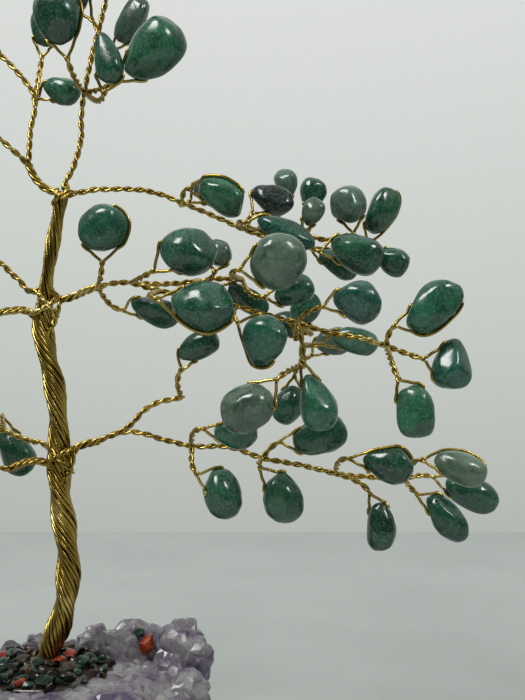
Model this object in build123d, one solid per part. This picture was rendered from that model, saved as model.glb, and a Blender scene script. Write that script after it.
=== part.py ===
"""Gemstone tree ornament: drilled green stones on twisted brass wire, standing in an amethyst cluster.

The frame has its origin on the underside of the cluster, below the foot of the trunk.
X runs to the right of the photograph, Y away from the viewer, Z up. Lengths are millimetres.
"""

import math
import os

from build123d import *

# Places in the crown. They are read as columns and rows of a frame of 525 by 700 with a depth share:
# a share of minus one is the front of the crown and of plus one the back.
CROWN_REACH = 135.0
CROWN_DEPTH = 40.0
VIEW_DISTANCE = 330.0
EYE_COLUMN = 262
EYE_ROW = 350
FOOT_COLUMN = 44
FOOT_ROW = 669
TIP_COLUMN = 481
SCALE = CROWN_REACH / (TIP_COLUMN - FOOT_COLUMN)

# Stones. Their seen sizes are compared with one stone whose length is known.
STONE_LENGTH = 15.5
STONE_LENGTH_PX = 50
FORM_POWERS = {"round": 2.1, "egg": 2.1, "drop": 1.95, "bean": 2.5}
FORM_SHIFT_SHARES = {"round": 0.04, "egg": 0.14, "drop": 0.26, "bean": 0.05}
BAND_SHARE = 0.06
PROFILE_STEPS = 4
ROLL_SWING = 22.0
ROLL_STEP = 77.0

# Wire.
WIRE_DIAMETER = 1.0
TWIG_DIAMETER = 2.1
ROPE_DIAMETER = 2.4
LIMB_DIAMETER = 3.0
KNUCKLE_DIAMETER = 3.6
TRUNK_DIAMETERS = (6.8, 6.0, 4.2)
ROPE_BEND = 5.0
BEND_FIT_SHARE = 0.45
STRAIGHT_ANGLE = 1.0

# Loops through the stones.
HOLE_CLEARANCE = 0.15
HOLE_SHARE = 0.66
NECK_SHARE = 0.42
LOOP_STANDOFF = 1.7
LOOP_SHOULDER = 1.8
LOOP_BEND = 0.8
LEG_GAP = 0.06
LEG_RUN = 0.9
APPROACH_SHARE = 0.36
APPROACH_MOST = 6.0

# Cluster, chips and glue.
BASE_TOP = 30.0
BASE_HALF_LENGTH = 49.0
BASE_HALF_DEPTH = 38.0
BASE_SHIFT = 4.0
OUTLINE_SHARES = (1.0, 0.93, 0.98, 0.9, 0.97, 1.0, 0.92, 0.97, 0.89, 0.99, 0.93, 0.98, 0.91)
RING_SHARES = ((0.0, 0.88), (0.2, 1.0), (0.62, 0.99), (0.86, 0.93), (1.0, 0.78))
CRYSTAL_RADIUS = 7.4
CRYSTAL_LENGTH = 24.0
CRYSTAL_SIDES = 6
CRYSTAL_LEAN_SHARE = 0.3
CAP_TAPER = 38.0
CAP_SHARE = 0.75
CRYSTAL_TURN = 23.0
SOCKET_DEPTH = 12.0
SOCKET_CLEARANCE = 0.2
GLUE_RADIUS = 21.0
GLUE_HEIGHT = 3.6
CHIP_LENGTH = 5.6
CHIP_WIDTH = 4.6
CHIP_THICKNESS = 3.6
CHIP_SINK_SHARE = 0.15
CHIP_RINGS = ((7.6, 8, 0.0, 360.0), (13.0, 13, 10.0, 360.0), (18.6, 10, 116.0, 205.0))
CHIP_SIZE_SHARES = (1.0, 0.82, 0.93, 0.76, 0.97)
CHIP_KINDS = ("red", "green", "dark", "brown", "dark", "clear", "green")
LONE_CHIPS = (("red", (147, 644, 0.1), 62.0, 1.25), ("green", (138.5, 632.5, 0.17), 0.0, 0.8))

# Tips of the crystal lumps: column, row, depth share, share of the radius.
CRYSTALS = (
    (99, 624, 0.5, 0.9), (118, 631, 0.42, 0.8), (136, 617, 0.38, 1.1), (154, 622, 0.34, 0.9),
    (171, 630, 0.26, 0.8), (187, 619, 0.2, 1.05), (202, 636, 0.05, 0.8), (128, 668, 0.08, 0.8),
    (150, 660, 0.1, 0.95), (176, 656, 0.02, 1.0), (196, 668, -0.2, 0.9), (158, 690, -0.22, 0.9),
    (182, 694, -0.42, 0.9), (140, 712, -0.55, 0.9), (104, 722, -0.7, 0.85), (62, 728, -0.8, 0.95),
    (20, 724, -0.78, 0.9), (-20, 712, -0.62, 0.9), (-52, 692, -0.35, 0.95), (-68, 672, -0.05, 0.8),
    (-70, 652, 0.25, 1.0), (-48, 646, 0.5, 0.85), (-20, 641, 0.66, 1.0), (10, 640, 0.7, 0.8),
    (36, 633, 0.62, 0.85), (70, 640, 0.62, 0.9), (150, 640, 0.7, 0.9), (90, 648, 0.85, 0.9),
)

# Trunk from the foot up, and the runs in whose middle the bundle loses wires.
TRUNK = (
    (44, 669, 0), (50, 648, 0), (63, 612, 0), (68, 575, 0), (66, 540, 0), (61, 505, 0), (59, 470, 0),
    (58, 425, 0), (55, 392, 0), (46, 350, 0), (42, 322, 0), (46, 285, 0), (55, 228, 0), (62, 192, 0),
)
TRUNK_SPLITS = (6, 10)

# Limbs. Each has named places, the thick limb, the ropes that fork from it, and its stones:
# column, row, depth share, length, width, tilt, neck, form, fork. The tilt points to the wide end of the
# stone and the neck to its wire, in degrees. A stone with a name hangs free on its loop.
LOW_RIGHT = {
    "places": {
        "root": (76.4, 448, 0), "a": (98, 441, -0.02), "b": (114, 434, 0.02), "c": (134, 432, 0.05),
        "d": (164, 440, 0.05), "e": (192, 446, 0.0), "f": (228, 447, 0.06), "g": (262, 458, 0.0),
        "h": (300, 465, 0.06), "i": (336, 474, 0.05), "j": (370, 477, 0.16), "k": (404, 479, 0.1),
        "m": (126, 428, -0.1), "n": (150, 406, -0.08), "o": (182, 397, -0.05),
    },
    "limb": "root a",
    "ropes": ("a b c d e f g h i", "i j k", "a m n o"),
    "stones": (
        (198, 346, -0.3, 44, 27, 28, 234, "egg", "o", ""),
        (235, 433, -0.3, 42, 32, 0, 172, "egg", "e", ""),
        (319, 436, 0.0, 54, 38, 18, 188, "egg", "g", ""),
        (222, 494, -0.15, 50, 38, 280, 142, "egg", "e", "low_right_drop_a"),
        (282, 497, -0.15, 52, 39, 286, 128, "egg", "g", "low_right_drop_b"),
        (387, 464, -0.28, 50, 38, -8, 172, "drop", "i", ""),
        (380, 527, -0.1, 48, 29, 272, 108, "egg", "i", "low_right_drop_c"),
        (446, 518, -0.2, 52, 31, -55, 141, "bean", "k", "low_right_drop_d"),
        (460, 468, -0.12, 52, 34, -20, 168, "egg", "k", ""),
        (471, 493, 0.28, 54, 34, -20, 157, "egg", "k", ""),
    ),
}
MID_RIGHT = {
    "places": {
        "root": (58.5, 298.7, 0), "a": (74, 296, -0.04), "b": (88, 290, -0.1), "c": (98, 287, -0.12),
        "d": (115, 283, -0.15), "e": (131, 283, -0.2), "f": (158, 284, -0.1), "g": (190, 282, 0.04),
        "h": (216, 279, 0.04), "i": (241, 279, -0.08), "j": (160, 291, -0.3), "k": (200, 300, -0.34),
        "m": (235, 306, -0.32), "n": (266, 315, -0.3), "o": (297, 323, -0.28), "p": (330, 333, -0.3),
        "q": (360, 338, -0.32), "r": (386, 346, -0.3), "s": (302, 345, -0.26), "t": (303, 366, -0.26),
    },
    "limb": "root a b c",
    "ropes": ("c d e f g h i", "e j k m n o p q r", "o s t"),
    "stones": (
        (103, 228, -0.35, 48, 45, 30, 268, "round", "c", ""),
        (155, 311, 0.12, 48, 30, -22, 180, "egg", "c", ""),
        (187, 252, -0.6, 56, 46, -5, 209, "round", "e", ""),
        (217, 252, -0.25, 30, 26, -20, 262, "egg", "g", ""),
        (203, 306, -0.8, 62, 51, -15, 172, "egg", "j", ""),
        (246, 299, -0.02, 46, 23, -30, 160, "bean", "g", ""),
        (278, 261, -0.75, 56, 54, 60, 192, "round", "i", ""),
        (294, 291, -0.4, 40, 30, 25, 192, "egg", "i", ""),
        (263, 341, -0.62, 50, 44, 80, 146, "egg", "m", ""),
        (304, 309, 0.06, 36, 30, 60, 255, "egg", "o", ""),
        (282, 325, 0.3, 34, 26, 10, 340, "egg", "o", ""),
        (357, 301, -0.62, 46, 44, -10, 190, "egg", "o", ""),
        (433, 306, -0.42, 62, 40, 45, 207, "bean", "r", ""),
        (451, 364, -0.3, 50, 42, 265, 170, "drop", "r", ""),
        (414, 412, -0.75, 50, 38, 275, 116, "bean", "r", "mid_right_drop_a"),
        (354, 341, 0.2, 48, 28, -14, 187, "egg", "s", ""),
        (332, 341, 0.55, 36, 28, 0, 215, "egg", "s", ""),
        (316, 402, -0.45, 56, 38, 290, 110, "drop", "t", "mid_right_drop_b"),
        (246, 408, -0.78, 56, 48, 30, 44, "round", "t", ""),
        (288, 405, 0.42, 38, 30, 250, 78, "egg", "t", ""),
    ),
}
TOP_RIGHT = {
    "places": {
        "root": (75.5, 193, 0), "a": (92, 190, 0.03), "b": (112, 189, 0.08), "c": (140, 190, 0.14),
        "d": (162, 195, 0.2), "e": (182, 203, 0.22), "f": (216, 217, 0.32), "g": (248, 231, 0.32),
        "h": (276, 238, 0.34), "i": (304, 236, 0.3), "j": (328, 240, 0.18), "k": (350, 236, 0.3),
        "m": (368, 243, 0.26),
    },
    "limb": "root a b",
    "ropes": ("b c d e f g h i j k m",),
    "stones": (
        (210, 192, 0.58, 36, 26, -25, 205, "egg", "e", ""),
        (222, 196, 0.05, 50, 33, -30, 168, "bean", "e", ""),
        (285, 233, -0.08, 58, 27, -24, 166, "egg", "g", ""),
        (272, 200, 0.44, 44, 30, -22, 215, "egg", "g", ""),
        (285, 184, 0.8, 30, 23, 95, 262, "egg", "g", ""),
        (312, 193, 0.5, 30, 27, 80, 268, "egg", "i", ""),
        (312, 212, 0.05, 28, 23, 62, 246, "egg", "i", ""),
        (357, 253, 0.12, 52, 38, -22, 178, "egg", "i", ""),
        (338, 264, 0.42, 42, 27, -30, 150, "egg", "i", ""),
        (348, 205, 0.36, 37, 36, 100, 280, "round", "k", ""),
        (381, 211, 0.62, 46, 29, 62, 248, "bean", "m", ""),
        (393, 262, 0.3, 34, 28, -32, 158, "egg", "m", ""),
    ),
}
TOP_LEADER = {
    "places": {
        "root": (64, 185.5, 0), "a": (74, 164, 0.02), "b": (81, 138, 0.05), "c": (81, 114, 0.05),
        "d": (84, 92, 0.02), "e": (90, 62, 0.06), "f": (98, 30, 0.1), "g": (106, -5, 0.1),
        "h": (108, -42, 0.06),
    },
    "limb": "root a b",
    "ropes": ("b c d e f g h",),
    "stones": (
        (57, 16, -0.45, 58, 46, 100, 283, "egg", "d", ""),
        (152, 50, -0.3, 66, 52, 45, 220, "egg", "d", ""),
        (107, 58, -0.56, 50, 29, 284, 264, "drop", "d", ""),
        (131, 20, 0.4, 48, 27, 66, 238, "bean", "f", ""),
        (74, -10, 0.1, 44, 34, 120, 300, "egg", "f", ""),
        (146, -36, -0.1, 48, 36, 20, 208, "egg", "g", ""),
        (94, -92, 0.2, 48, 34, 100, 282, "egg", "h", ""),
        (134, -84, -0.3, 44, 34, 50, 238, "egg", "h", ""),
        (62, -66, -0.3, 46, 32, 150, 328, "bean", "h", ""),
    ),
}
TOP_LEFT = {
    "places": {
        "root": (48.5, 190.3, 0), "a": (36, 180, 0), "b": (28, 165, 0), "c": (30, 131, 0.06),
        "d": (34, 98, 0.08), "e": (20, 76, 0.1), "f": (0, 55, 0.1), "g": (10, 148, -0.06),
        "h": (-18, 127, -0.08), "i": (-47, 109, -0.04), "j": (-80, 92, -0.06), "k": (-112, 82, -0.02),
    },
    "limb": "root a b",
    "ropes": ("b c d e f", "b g h i j k"),
    "stones": (
        (61, 90, 0.24, 36, 28, -20, 199, "egg", "d", ""),
        (46, 24, 0.32, 44, 32, 80, 262, "egg", "d", ""),
        (-20, 12, 0.1, 44, 34, 110, 292, "egg", "f", ""),
        (-48, 50, 0.3, 42, 34, 170, 345, "egg", "f", ""),
        (-55, 62, -0.38, 48, 34, 100, 285, "egg", "i", ""),
        (-62, 152, -0.32, 50, 34, 250, 68, "egg", "i", "top_left_drop"),
        (-92, 42, -0.1, 50, 40, 95, 280, "round", "j", ""),
        (-104, 134, -0.2, 48, 36, 260, 72, "bean", "j", ""),
        (-134, 38, 0.25, 46, 36, 120, 300, "egg", "k", ""),
        (-158, 84, -0.1, 52, 38, 180, 0, "drop", "k", ""),
        (-148, 126, -0.35, 46, 34, 235, 50, "egg", "k", ""),
    ),
}
MID_LEFT_HIGH = {
    "places": {
        "root": (32, 292, 0.02), "a": (18, 280, 0.06), "b": (0, 263, 0.12), "c": (-30, 245, 0.16),
        "d": (-65, 233, 0.2), "e": (-100, 226, 0.22), "f": (-140, 214, 0.2),
    },
    "limb": "root a b",
    "ropes": ("b c d e f",),
    "stones": (
        (-26, 198, 0.3, 50, 38, 80, 265, "egg", "c", ""),
        (-40, 288, 0.3, 44, 32, 270, 78, "egg", "c", ""),
        (-78, 186, 0.25, 52, 40, 100, 280, "egg", "d", ""),
        (-84, 276, 0.05, 48, 34, 250, 62, "bean", "d", "mid_left_drop_a"),
        (-122, 178, 0.5, 46, 34, 100, 290, "egg", "e", ""),
        (-120, 268, 0.35, 50, 38, 255, 70, "drop", "e", ""),
        (-164, 182, 0.1, 52, 40, 125, 308, "round", "f", ""),
        (-186, 222, 0.25, 50, 36, 190, 8, "egg", "f", ""),
        (-158, 258, 0.08, 46, 36, 250, 66, "egg", "f", ""),
    ),
}
MID_LEFT_LOW = {
    "places": {
        "root": (26, 311, -0.02), "a": (8, 311, -0.08), "b": (-8, 314, -0.14), "c": (-42, 325, -0.24),
        "d": (-82, 330, -0.26), "e": (-126, 326, -0.24), "f": (-170, 331, -0.2), "g": (-214, 322, -0.18),
    },
    "limb": "root a b",
    "ropes": ("b c d e f g",),
    "stones": (
        (-36, 368, -0.5, 52, 40, 265, 86, "egg", "c", ""),
        (-84, 290, -0.55, 48, 38, 95, 276, "egg", "d", ""),
        (-90, 374, -0.5, 48, 34, 260, 78, "bean", "d", "mid_left_drop_b"),
        (-134, 284, -0.5, 52, 40, 100, 280, "drop", "e", ""),
        (-136, 366, -0.52, 50, 38, 262, 82, "egg", "e", ""),
        (-184, 292, -0.4, 48, 36, 110, 286, "egg", "f", ""),
        (-180, 374, -0.48, 52, 40, 262, 82, "round", "f", ""),
        (-242, 284, -0.3, 52, 38, 130, 308, "bean", "g", ""),
        (-262, 328, -0.1, 54, 38, 190, 6, "egg", "g", ""),
        (-238, 366, -0.5, 48, 36, 240, 60, "egg", "g", ""),
    ),
}
LOW_LEFT_FRONT = {
    "places": {
        "root": (43.2, 462, -0.094), "a": (26, 462, -0.16), "b": (10, 469, -0.2), "c": (-40, 466, -0.24),
        "d": (-85, 475, -0.22), "e": (-130, 470, -0.22), "f": (-175, 480, -0.18), "g": (-220, 474, -0.14),
    },
    "limb": "root a b",
    "ropes": ("b c d e f g",),
    "stones": (
        (-48, 512, -0.3, 52, 38, 262, 82, "egg", "c", "low_left_drop_a"),
        (-46, 426, 0.05, 46, 36, 95, 275, "egg", "c", ""),
        (-92, 432, 0.1, 52, 40, 100, 280, "round", "d", ""),
        (-94, 521, -0.15, 50, 36, 265, 84, "bean", "d", "low_left_drop_b"),
        (-136, 428, 0.08, 48, 36, 95, 275, "drop", "e", ""),
        (-142, 512, -0.38, 52, 40, 258, 74, "egg", "e", ""),
        (-184, 438, 0.12, 50, 38, 105, 284, "egg", "f", ""),
        (-188, 524, -0.1, 48, 34, 255, 76, "egg", "f", ""),
        (-248, 438, 0.1, 52, 38, 130, 308, "egg", "g", ""),
        (-268, 482, -0.1, 54, 38, 180, 0, "drop", "g", ""),
        (-242, 520, -0.3, 48, 36, 240, 60, "bean", "g", ""),
    ),
}
LOW_LEFT_BACK = {
    "places": {
        "root": (47.2, 447, 0.089), "a": (26, 440, 0.2), "b": (4, 431, 0.3), "c": (-40, 416, 0.4),
        "d": (-85, 406, 0.46), "e": (-130, 410, 0.5), "f": (-175, 400, 0.5), "g": (-215, 406, 0.48),
    },
    "limb": "root a b",
    "ropes": ("b c d e f g",),
    "stones": (
        (15, 452, 0.6, 48, 34, 300, 110, "egg", "b", ""),
        (-34, 368, 0.5, 48, 38, 85, 266, "egg", "c", ""),
        (-90, 360, 0.6, 50, 38, 100, 278, "egg", "d", ""),
        (-86, 452, 0.6, 48, 36, 265, 86, "egg", "d", ""),
        (-134, 366, 0.4, 46, 34, 95, 276, "round", "e", ""),
        (-136, 456, 0.5, 50, 36, 262, 82, "bean", "e", "low_left_drop_c"),
        (-182, 354, 0.6, 52, 40, 105, 284, "egg", "f", ""),
        (-184, 446, 0.65, 48, 36, 255, 78, "egg", "f", ""),
        (-248, 372, 0.4, 50, 36, 130, 310, "egg", "g", ""),
        (-262, 414, 0.55, 52, 38, 190, 8, "drop", "g", ""),
        (-236, 452, 0.4, 48, 36, 240, 62, "egg", "g", ""),
    ),
}
LIMBS = {
    "low_right": LOW_RIGHT,
    "mid_right": MID_RIGHT,
    "top_right": TOP_RIGHT,
    "top_leader": TOP_LEADER,
    "top_left": TOP_LEFT,
    "mid_left_high": MID_LEFT_HIGH,
    "mid_left_low": MID_LEFT_LOW,
    "low_left_front": LOW_LEFT_FRONT,
    "low_left_back": LOW_LEFT_BACK,
}


def spread(depth_share):
    """How much larger a thing is than it looks, for its depth."""
    return 1 + depth_share * CROWN_DEPTH / VIEW_DISTANCE


def place(column, row, depth_share):
    """The point in the frame for a column, a row and a depth share."""
    wide = spread(depth_share)
    across = (column - EYE_COLUMN) * wide - (FOOT_COLUMN - EYE_COLUMN)
    up = (EYE_ROW - row) * wide - (EYE_ROW - FOOT_ROW)
    return Vector(across * SCALE, depth_share * CROWN_DEPTH, BASE_TOP + up * SCALE)


def tube(points, diameter, bend):
    """A round tube along straight runs with rounded corners, each as round as its runs allow."""
    kept = [points[0]]
    bends = []
    for i in range(1, len(points) - 1):
        before = points[i] - kept[-1]
        after = points[i + 1] - points[i]
        turn = before.get_angle(after)
        if turn < STRAIGHT_ANGLE:
            continue
        fit = BEND_FIT_SHARE * min(before.length, after.length) / math.tan(math.radians(turn / 2))
        kept.append(points[i])
        bends.append(min(bend, fit))
    kept.append(points[-1])
    path = FilletPolyline(*kept, radius=bends) if bends else Line(kept[0], kept[1])
    start = Plane(origin=path @ 0, z_dir=path % 0)
    return sweep(start * Circle(diameter / 2), path=path)


def stone_blank(length, width, form):
    """A tumbled stone along X, turned from two curves that meet at a short straight band, where it is widest."""
    power = FORM_POWERS[form]
    middle = FORM_SHIFT_SHARES[form] * length / 2
    band = BAND_SHARE * length / 2
    ends = []
    for way in (-1, 1):
        start = middle + way * band
        reach = length / 2 - way * start
        points = []
        for i in range(PROFILE_STEPS + 1):
            angle = math.pi / 2 * i / PROFILE_STEPS
            share = math.sin(angle)
            height = max(0, 1 - share**power) ** (1 / power) if i < PROFILE_STEPS else 0
            points.append((start + way * reach * share, height * width / 2))
        ends.append(Spline(*points, tangents=[(way, 0), (0, -1)]))
    belt = Line((middle - band, width / 2), (middle + band, width / 2))
    axis_line = Line((-length / 2, 0), (length / 2, 0))
    return revolve(Plane.XZ * make_face(ends[0] + belt + ends[1] + axis_line), Axis.X)


class Stone:
    """One stone of a limb: where it is, how its hole runs and where its wire leaves it."""

    def __init__(self, row, number):
        column, line, depth_share, length, width, tilt, neck, self.form, self.fork, self.name = row
        seen = STONE_LENGTH / STONE_LENGTH_PX * spread(depth_share)
        self.length = length * seen
        self.width = width * seen
        self.centre = place(column, line, depth_share)
        roll = math.radians(ROLL_SWING * math.sin(math.radians(ROLL_STEP * number)))
        tilt_angle = math.radians(tilt)
        self.u = Vector(math.cos(tilt_angle), 0, math.sin(tilt_angle))
        flat = Vector(-math.sin(tilt_angle), 0, math.cos(tilt_angle))
        front = Vector(0, -1, 0)
        self.v = flat * math.cos(roll) + front * math.sin(roll)
        self.w = front * math.cos(roll) - flat * math.sin(roll)
        lean = math.radians(neck - tilt)
        self.neck_way = self.u * math.cos(lean) + self.v * math.sin(lean)
        self.hole_way = self.v * math.cos(lean) - self.u * math.sin(lean)
        a = self.length / 2
        b = self.width / 2
        reach = a * b / math.hypot(b * math.cos(lean), a * math.sin(lean))
        self.hole_depth = HOLE_SHARE * reach
        self.hole = self.centre + self.neck_way * self.hole_depth
        self.neck = self.centre + self.neck_way * (reach + NECK_SHARE * reach)
        # Where the hole's line leaves the stone's oval, on each side.
        n = (math.cos(lean) / a, math.sin(lean) / b)
        h = (-math.sin(lean) / a, math.cos(lean) / b)
        square = h[0] ** 2 + h[1] ** 2
        half = self.hole_depth * (n[0] * h[0] + n[1] * h[1])
        rest = self.hole_depth**2 * (n[0] ** 2 + n[1] ** 2) - 1
        root = math.sqrt(half * half - square * rest)
        self.exits = ((root - half) / square, (-root - half) / square)

    def solid(self):
        """The stone with its hole."""
        blank = Plane(origin=self.centre, x_dir=self.u, z_dir=self.w) * stone_blank(
            self.length, self.width, self.form
        )
        drill = Cylinder(WIRE_DIAMETER / 2 + HOLE_CLEARANCE, self.length + self.width)
        return blank - Plane(origin=self.hole, z_dir=self.hole_way) * drill

    def loop(self):
        """The wire from the neck through the hole and back."""
        offset = (WIRE_DIAMETER + LEG_GAP) / 2
        sides = []
        for side, way in zip(self.exits, (1, -1)):
            mouth = self.hole + self.hole_way * (side + way * LOOP_STANDOFF)
            leg = self.neck + self.hole_way * (way * offset)
            sides.append([leg, leg - self.neck_way * LEG_RUN, mouth + self.neck_way * LOOP_SHOULDER, mouth])
        return tube(sides[0] + sides[1][::-1], WIRE_DIAMETER, LOOP_BEND)

    def twig(self, fork):
        """The twisted pair from a fork to the neck, with the loop."""
        run = (fork - self.neck).length
        approach = self.neck + self.neck_way * min(APPROACH_MOST, APPROACH_SHARE * run)
        return tube([fork, approach, self.neck], TWIG_DIAMETER, ROPE_BEND) + self.loop()


def route(limb, names):
    """The points of a rope from the names of its places."""
    return [place(*limb["places"][name]) for name in names.split()]


def only_solid(shape):
    """The largest solid of a shape."""
    return max(shape.solids(), key=lambda solid: solid.volume)


def cut_by(shape, others):
    """A shape less the others that reach into its box."""
    near = [other for other in others if shape.bounding_box().overlaps(other.bounding_box())]
    return only_solid(shape - near) if near else only_solid(shape)


def grow_limb(name, limb):
    """The nodes of one limb: its ropes, its twigs, its stones and its free stones."""
    points = route(limb, limb["limb"])
    knuckle = Pos(points[0]) * Sphere(KNUCKLE_DIAMETER / 2)
    branch = [only_solid(tube(points, LIMB_DIAMETER, ROPE_BEND) + knuckle)]
    for names in limb["ropes"]:
        branch.append(cut_by(tube(route(limb, names), ROPE_DIAMETER, ROPE_BEND), branch))
    twigs = []
    stones = []
    nodes = {}
    for number, row in enumerate(limb["stones"]):
        stone = Stone(row, number)
        twig = stone.twig(place(*limb["places"][stone.fork]))
        twigs.append(cut_by(twig, branch + twigs))
        solid = only_solid(stone.solid())
        if stone.name:
            nodes[stone.name] = [solid]
        else:
            stones.append(solid)
    nodes[name + "_branch"] = branch
    nodes[name + "_twigs"] = twigs
    nodes[name + "_stones"] = stones
    return nodes


def grow_trunk():
    """The trunk in three lengths that get thinner, its foot set straight down into the cluster."""
    points = [place(*spot) for spot in TRUNK]
    foot = points[0] - Vector(0, 0, SOCKET_DEPTH)
    middles = [(points[i] + points[i + 1]) * 0.5 for i in TRUNK_SPLITS]
    low, high = TRUNK_SPLITS
    runs = (
        [foot] + points[: low + 1] + [middles[0]],
        [middles[0]] + points[low + 1 : high + 1] + [middles[1]],
        [middles[1]] + points[high + 1 :],
    )
    names = ("trunk_lower", "trunk_middle", "trunk_upper")
    return {
        name: [only_solid(tube(run, width, ROPE_BEND * width / ROPE_DIAMETER))]
        for name, run, width in zip(names, runs, TRUNK_DIAMETERS)
    }


def outline(size_share, height):
    """One ring of the cluster's rough outline."""
    corners = []
    for i, share in enumerate(OUTLINE_SHARES):
        angle = 2 * math.pi * i / len(OUTLINE_SHARES)
        across = BASE_SHIFT + BASE_HALF_LENGTH * share * size_share * math.cos(angle)
        corners.append((across, BASE_HALF_DEPTH * share * size_share * math.sin(angle)))
    return Pos(0, 0, height) * make_face(Polyline(*corners, close=True))


def crystal(spot, radius_share, number):
    """A blunt six-sided crystal with its tip at a spot, leaning out from the trunk."""
    tip = place(*spot)
    radius = CRYSTAL_RADIUS * radius_share
    lean = Vector(tip.X, tip.Y, 0).normalized() * CRYSTAL_LEAN_SHARE
    way = (Vector(0, 0, 1) + lean).normalized()
    cap = radius * CAP_SHARE
    waist = Plane(origin=tip - way * cap, z_dir=way)
    six = waist * Rot(0, 0, CRYSTAL_TURN * number) * RegularPolygon(radius, CRYSTAL_SIDES)
    return extrude(six, CRYSTAL_LENGTH, dir=way * -1) + extrude(six, cap, taper=CAP_TAPER)


def build_cluster():
    """The amethyst cluster: a rough block with a flat top and underside and crystal lumps round the top."""
    rings = [outline(size, BASE_TOP * height) for height, size in RING_SHARES]
    block = loft(rings, ruled=True)
    lumps = [crystal(row[:3], row[3], i) for i, row in enumerate(CRYSTALS)]
    socket = Pos(0, 0, BASE_TOP - SOCKET_DEPTH) * Cylinder(
        TRUNK_DIAMETERS[0] / 2 + SOCKET_CLEARANCE,
        SOCKET_DEPTH + BASE_TOP,
        align=(Align.CENTER, Align.CENTER, Align.MIN),
    )
    below = Pos(0, 0, -CRYSTAL_LENGTH / 2) * Box(4 * BASE_HALF_LENGTH, 4 * BASE_HALF_DEPTH, CRYSTAL_LENGTH)
    return block + lumps - below - socket


def chip(x, y, z, turn, pitch, share):
    """One polished chip."""
    blank = scale(Sphere(CHIP_THICKNESS / 2), by=(CHIP_LENGTH / CHIP_THICKNESS, CHIP_WIDTH / CHIP_THICKNESS, 1))
    return Pos(x, y, z) * Rot(0, -pitch, 0) * Rot(0, 0, turn) * scale(blank, by=share)


def scatter_chips(cluster):
    """Chips in rings round the trunk's foot, seated in the glue, and the lone ones stuck on the crystals."""
    kinds = {kind: [] for kind in dict.fromkeys(CHIP_KINDS)}
    number = 0
    for radius, count, start, sweep_angle in CHIP_RINGS:
        dome = GLUE_HEIGHT * (1 - (radius / GLUE_RADIUS) ** 2)
        for i in range(count):
            angle = start + sweep_angle * i / count
            share = CHIP_SIZE_SHARES[number % len(CHIP_SIZE_SHARES)]
            x = radius * math.cos(math.radians(angle))
            y = radius * math.sin(math.radians(angle))
            height = BASE_TOP + dome + CHIP_THICKNESS * (share / 2 - CHIP_SINK_SHARE)
            kind = CHIP_KINDS[number % len(CHIP_KINDS)]
            kinds[kind].append(chip(x, y, height, angle + 90, 0, share) - cluster)
            number = number + 1
    for kind, spot, pitch, share in LONE_CHIPS:
        point = place(*spot)
        kinds[kind].append(chip(point.X, point.Y, point.Z, 0, pitch, share) - cluster)
    return kinds


def build_glue(trunk, chips, cluster):
    """The low clear mound that holds the chips and the trunk's foot."""
    edge = ThreePointArc(
        (GLUE_RADIUS, 0), (GLUE_RADIUS * math.sqrt(0.5), GLUE_HEIGHT / 2), (0, GLUE_HEIGHT)
    )
    face = make_face(edge + Polyline((0, GLUE_HEIGHT), (0, 0), (GLUE_RADIUS, 0)))
    mound = Pos(0, 0, BASE_TOP) * revolve(Plane.XZ * face, Axis.Z)
    return mound - trunk - chips - cluster


def build_nodes():
    """Every node by name."""
    nodes = grow_trunk()
    cluster = build_cluster()
    chips = scatter_chips(cluster)
    every_chip = [piece for kind in chips.values() for piece in kind]
    nodes["amethyst_cluster"] = cluster.solids()
    nodes["glue_mound"] = build_glue(nodes["trunk_lower"], every_chip, cluster).solids()
    for kind, pieces in chips.items():
        nodes["chips_" + kind] = [only_solid(piece) for piece in pieces]
    for name, limb in LIMBS.items():
        nodes.update(grow_limb(name, limb))
    return nodes


os.makedirs("parts", exist_ok=True)
for node_name, node_solids in build_nodes().items():
    node = node_solids[0] if len(node_solids) == 1 else Compound(children=node_solids)
    export_step(node, "parts/" + node_name + ".step")
    print(node_name, len(node_solids), round(sum(solid.volume for solid in node_solids)))
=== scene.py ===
"""Gemstone tree ornament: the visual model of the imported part, laid out as an add-on.

The layout of limbs and stones is the same as in the part's source, in columns and rows of the photograph's
frame with a depth share. Lengths in the tables of stones are pixels, and named sizes are millimetres where
they don't carry MM. Everything built is in metres.
"""

import math
import random

import bmesh
import bpy
from mathutils import Matrix, Vector, noise


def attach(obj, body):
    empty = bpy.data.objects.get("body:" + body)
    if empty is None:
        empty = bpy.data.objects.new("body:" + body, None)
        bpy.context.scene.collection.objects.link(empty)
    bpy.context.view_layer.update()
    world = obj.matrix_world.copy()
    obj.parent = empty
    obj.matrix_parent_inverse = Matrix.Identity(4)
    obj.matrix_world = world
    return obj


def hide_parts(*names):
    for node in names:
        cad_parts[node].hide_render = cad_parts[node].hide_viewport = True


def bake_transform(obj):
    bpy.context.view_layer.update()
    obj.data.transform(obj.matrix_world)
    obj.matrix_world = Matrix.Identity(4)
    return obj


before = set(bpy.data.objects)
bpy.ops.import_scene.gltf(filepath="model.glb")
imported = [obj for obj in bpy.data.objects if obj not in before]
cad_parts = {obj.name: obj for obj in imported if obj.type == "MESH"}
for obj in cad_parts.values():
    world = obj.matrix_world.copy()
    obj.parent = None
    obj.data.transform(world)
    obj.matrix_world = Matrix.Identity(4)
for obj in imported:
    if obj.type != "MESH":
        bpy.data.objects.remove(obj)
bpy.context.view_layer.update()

bl_info = {
    "name": "Gemstone tree",
    "version": (1, 0, 0),
    "blender": (4, 5, 0),
    "location": "View3D > Sidebar > Gem Tree",
    "description": "Builds a wire gemstone tree on the packed part's bodies",
    "category": "Object",
}

MM = 0.001

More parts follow.
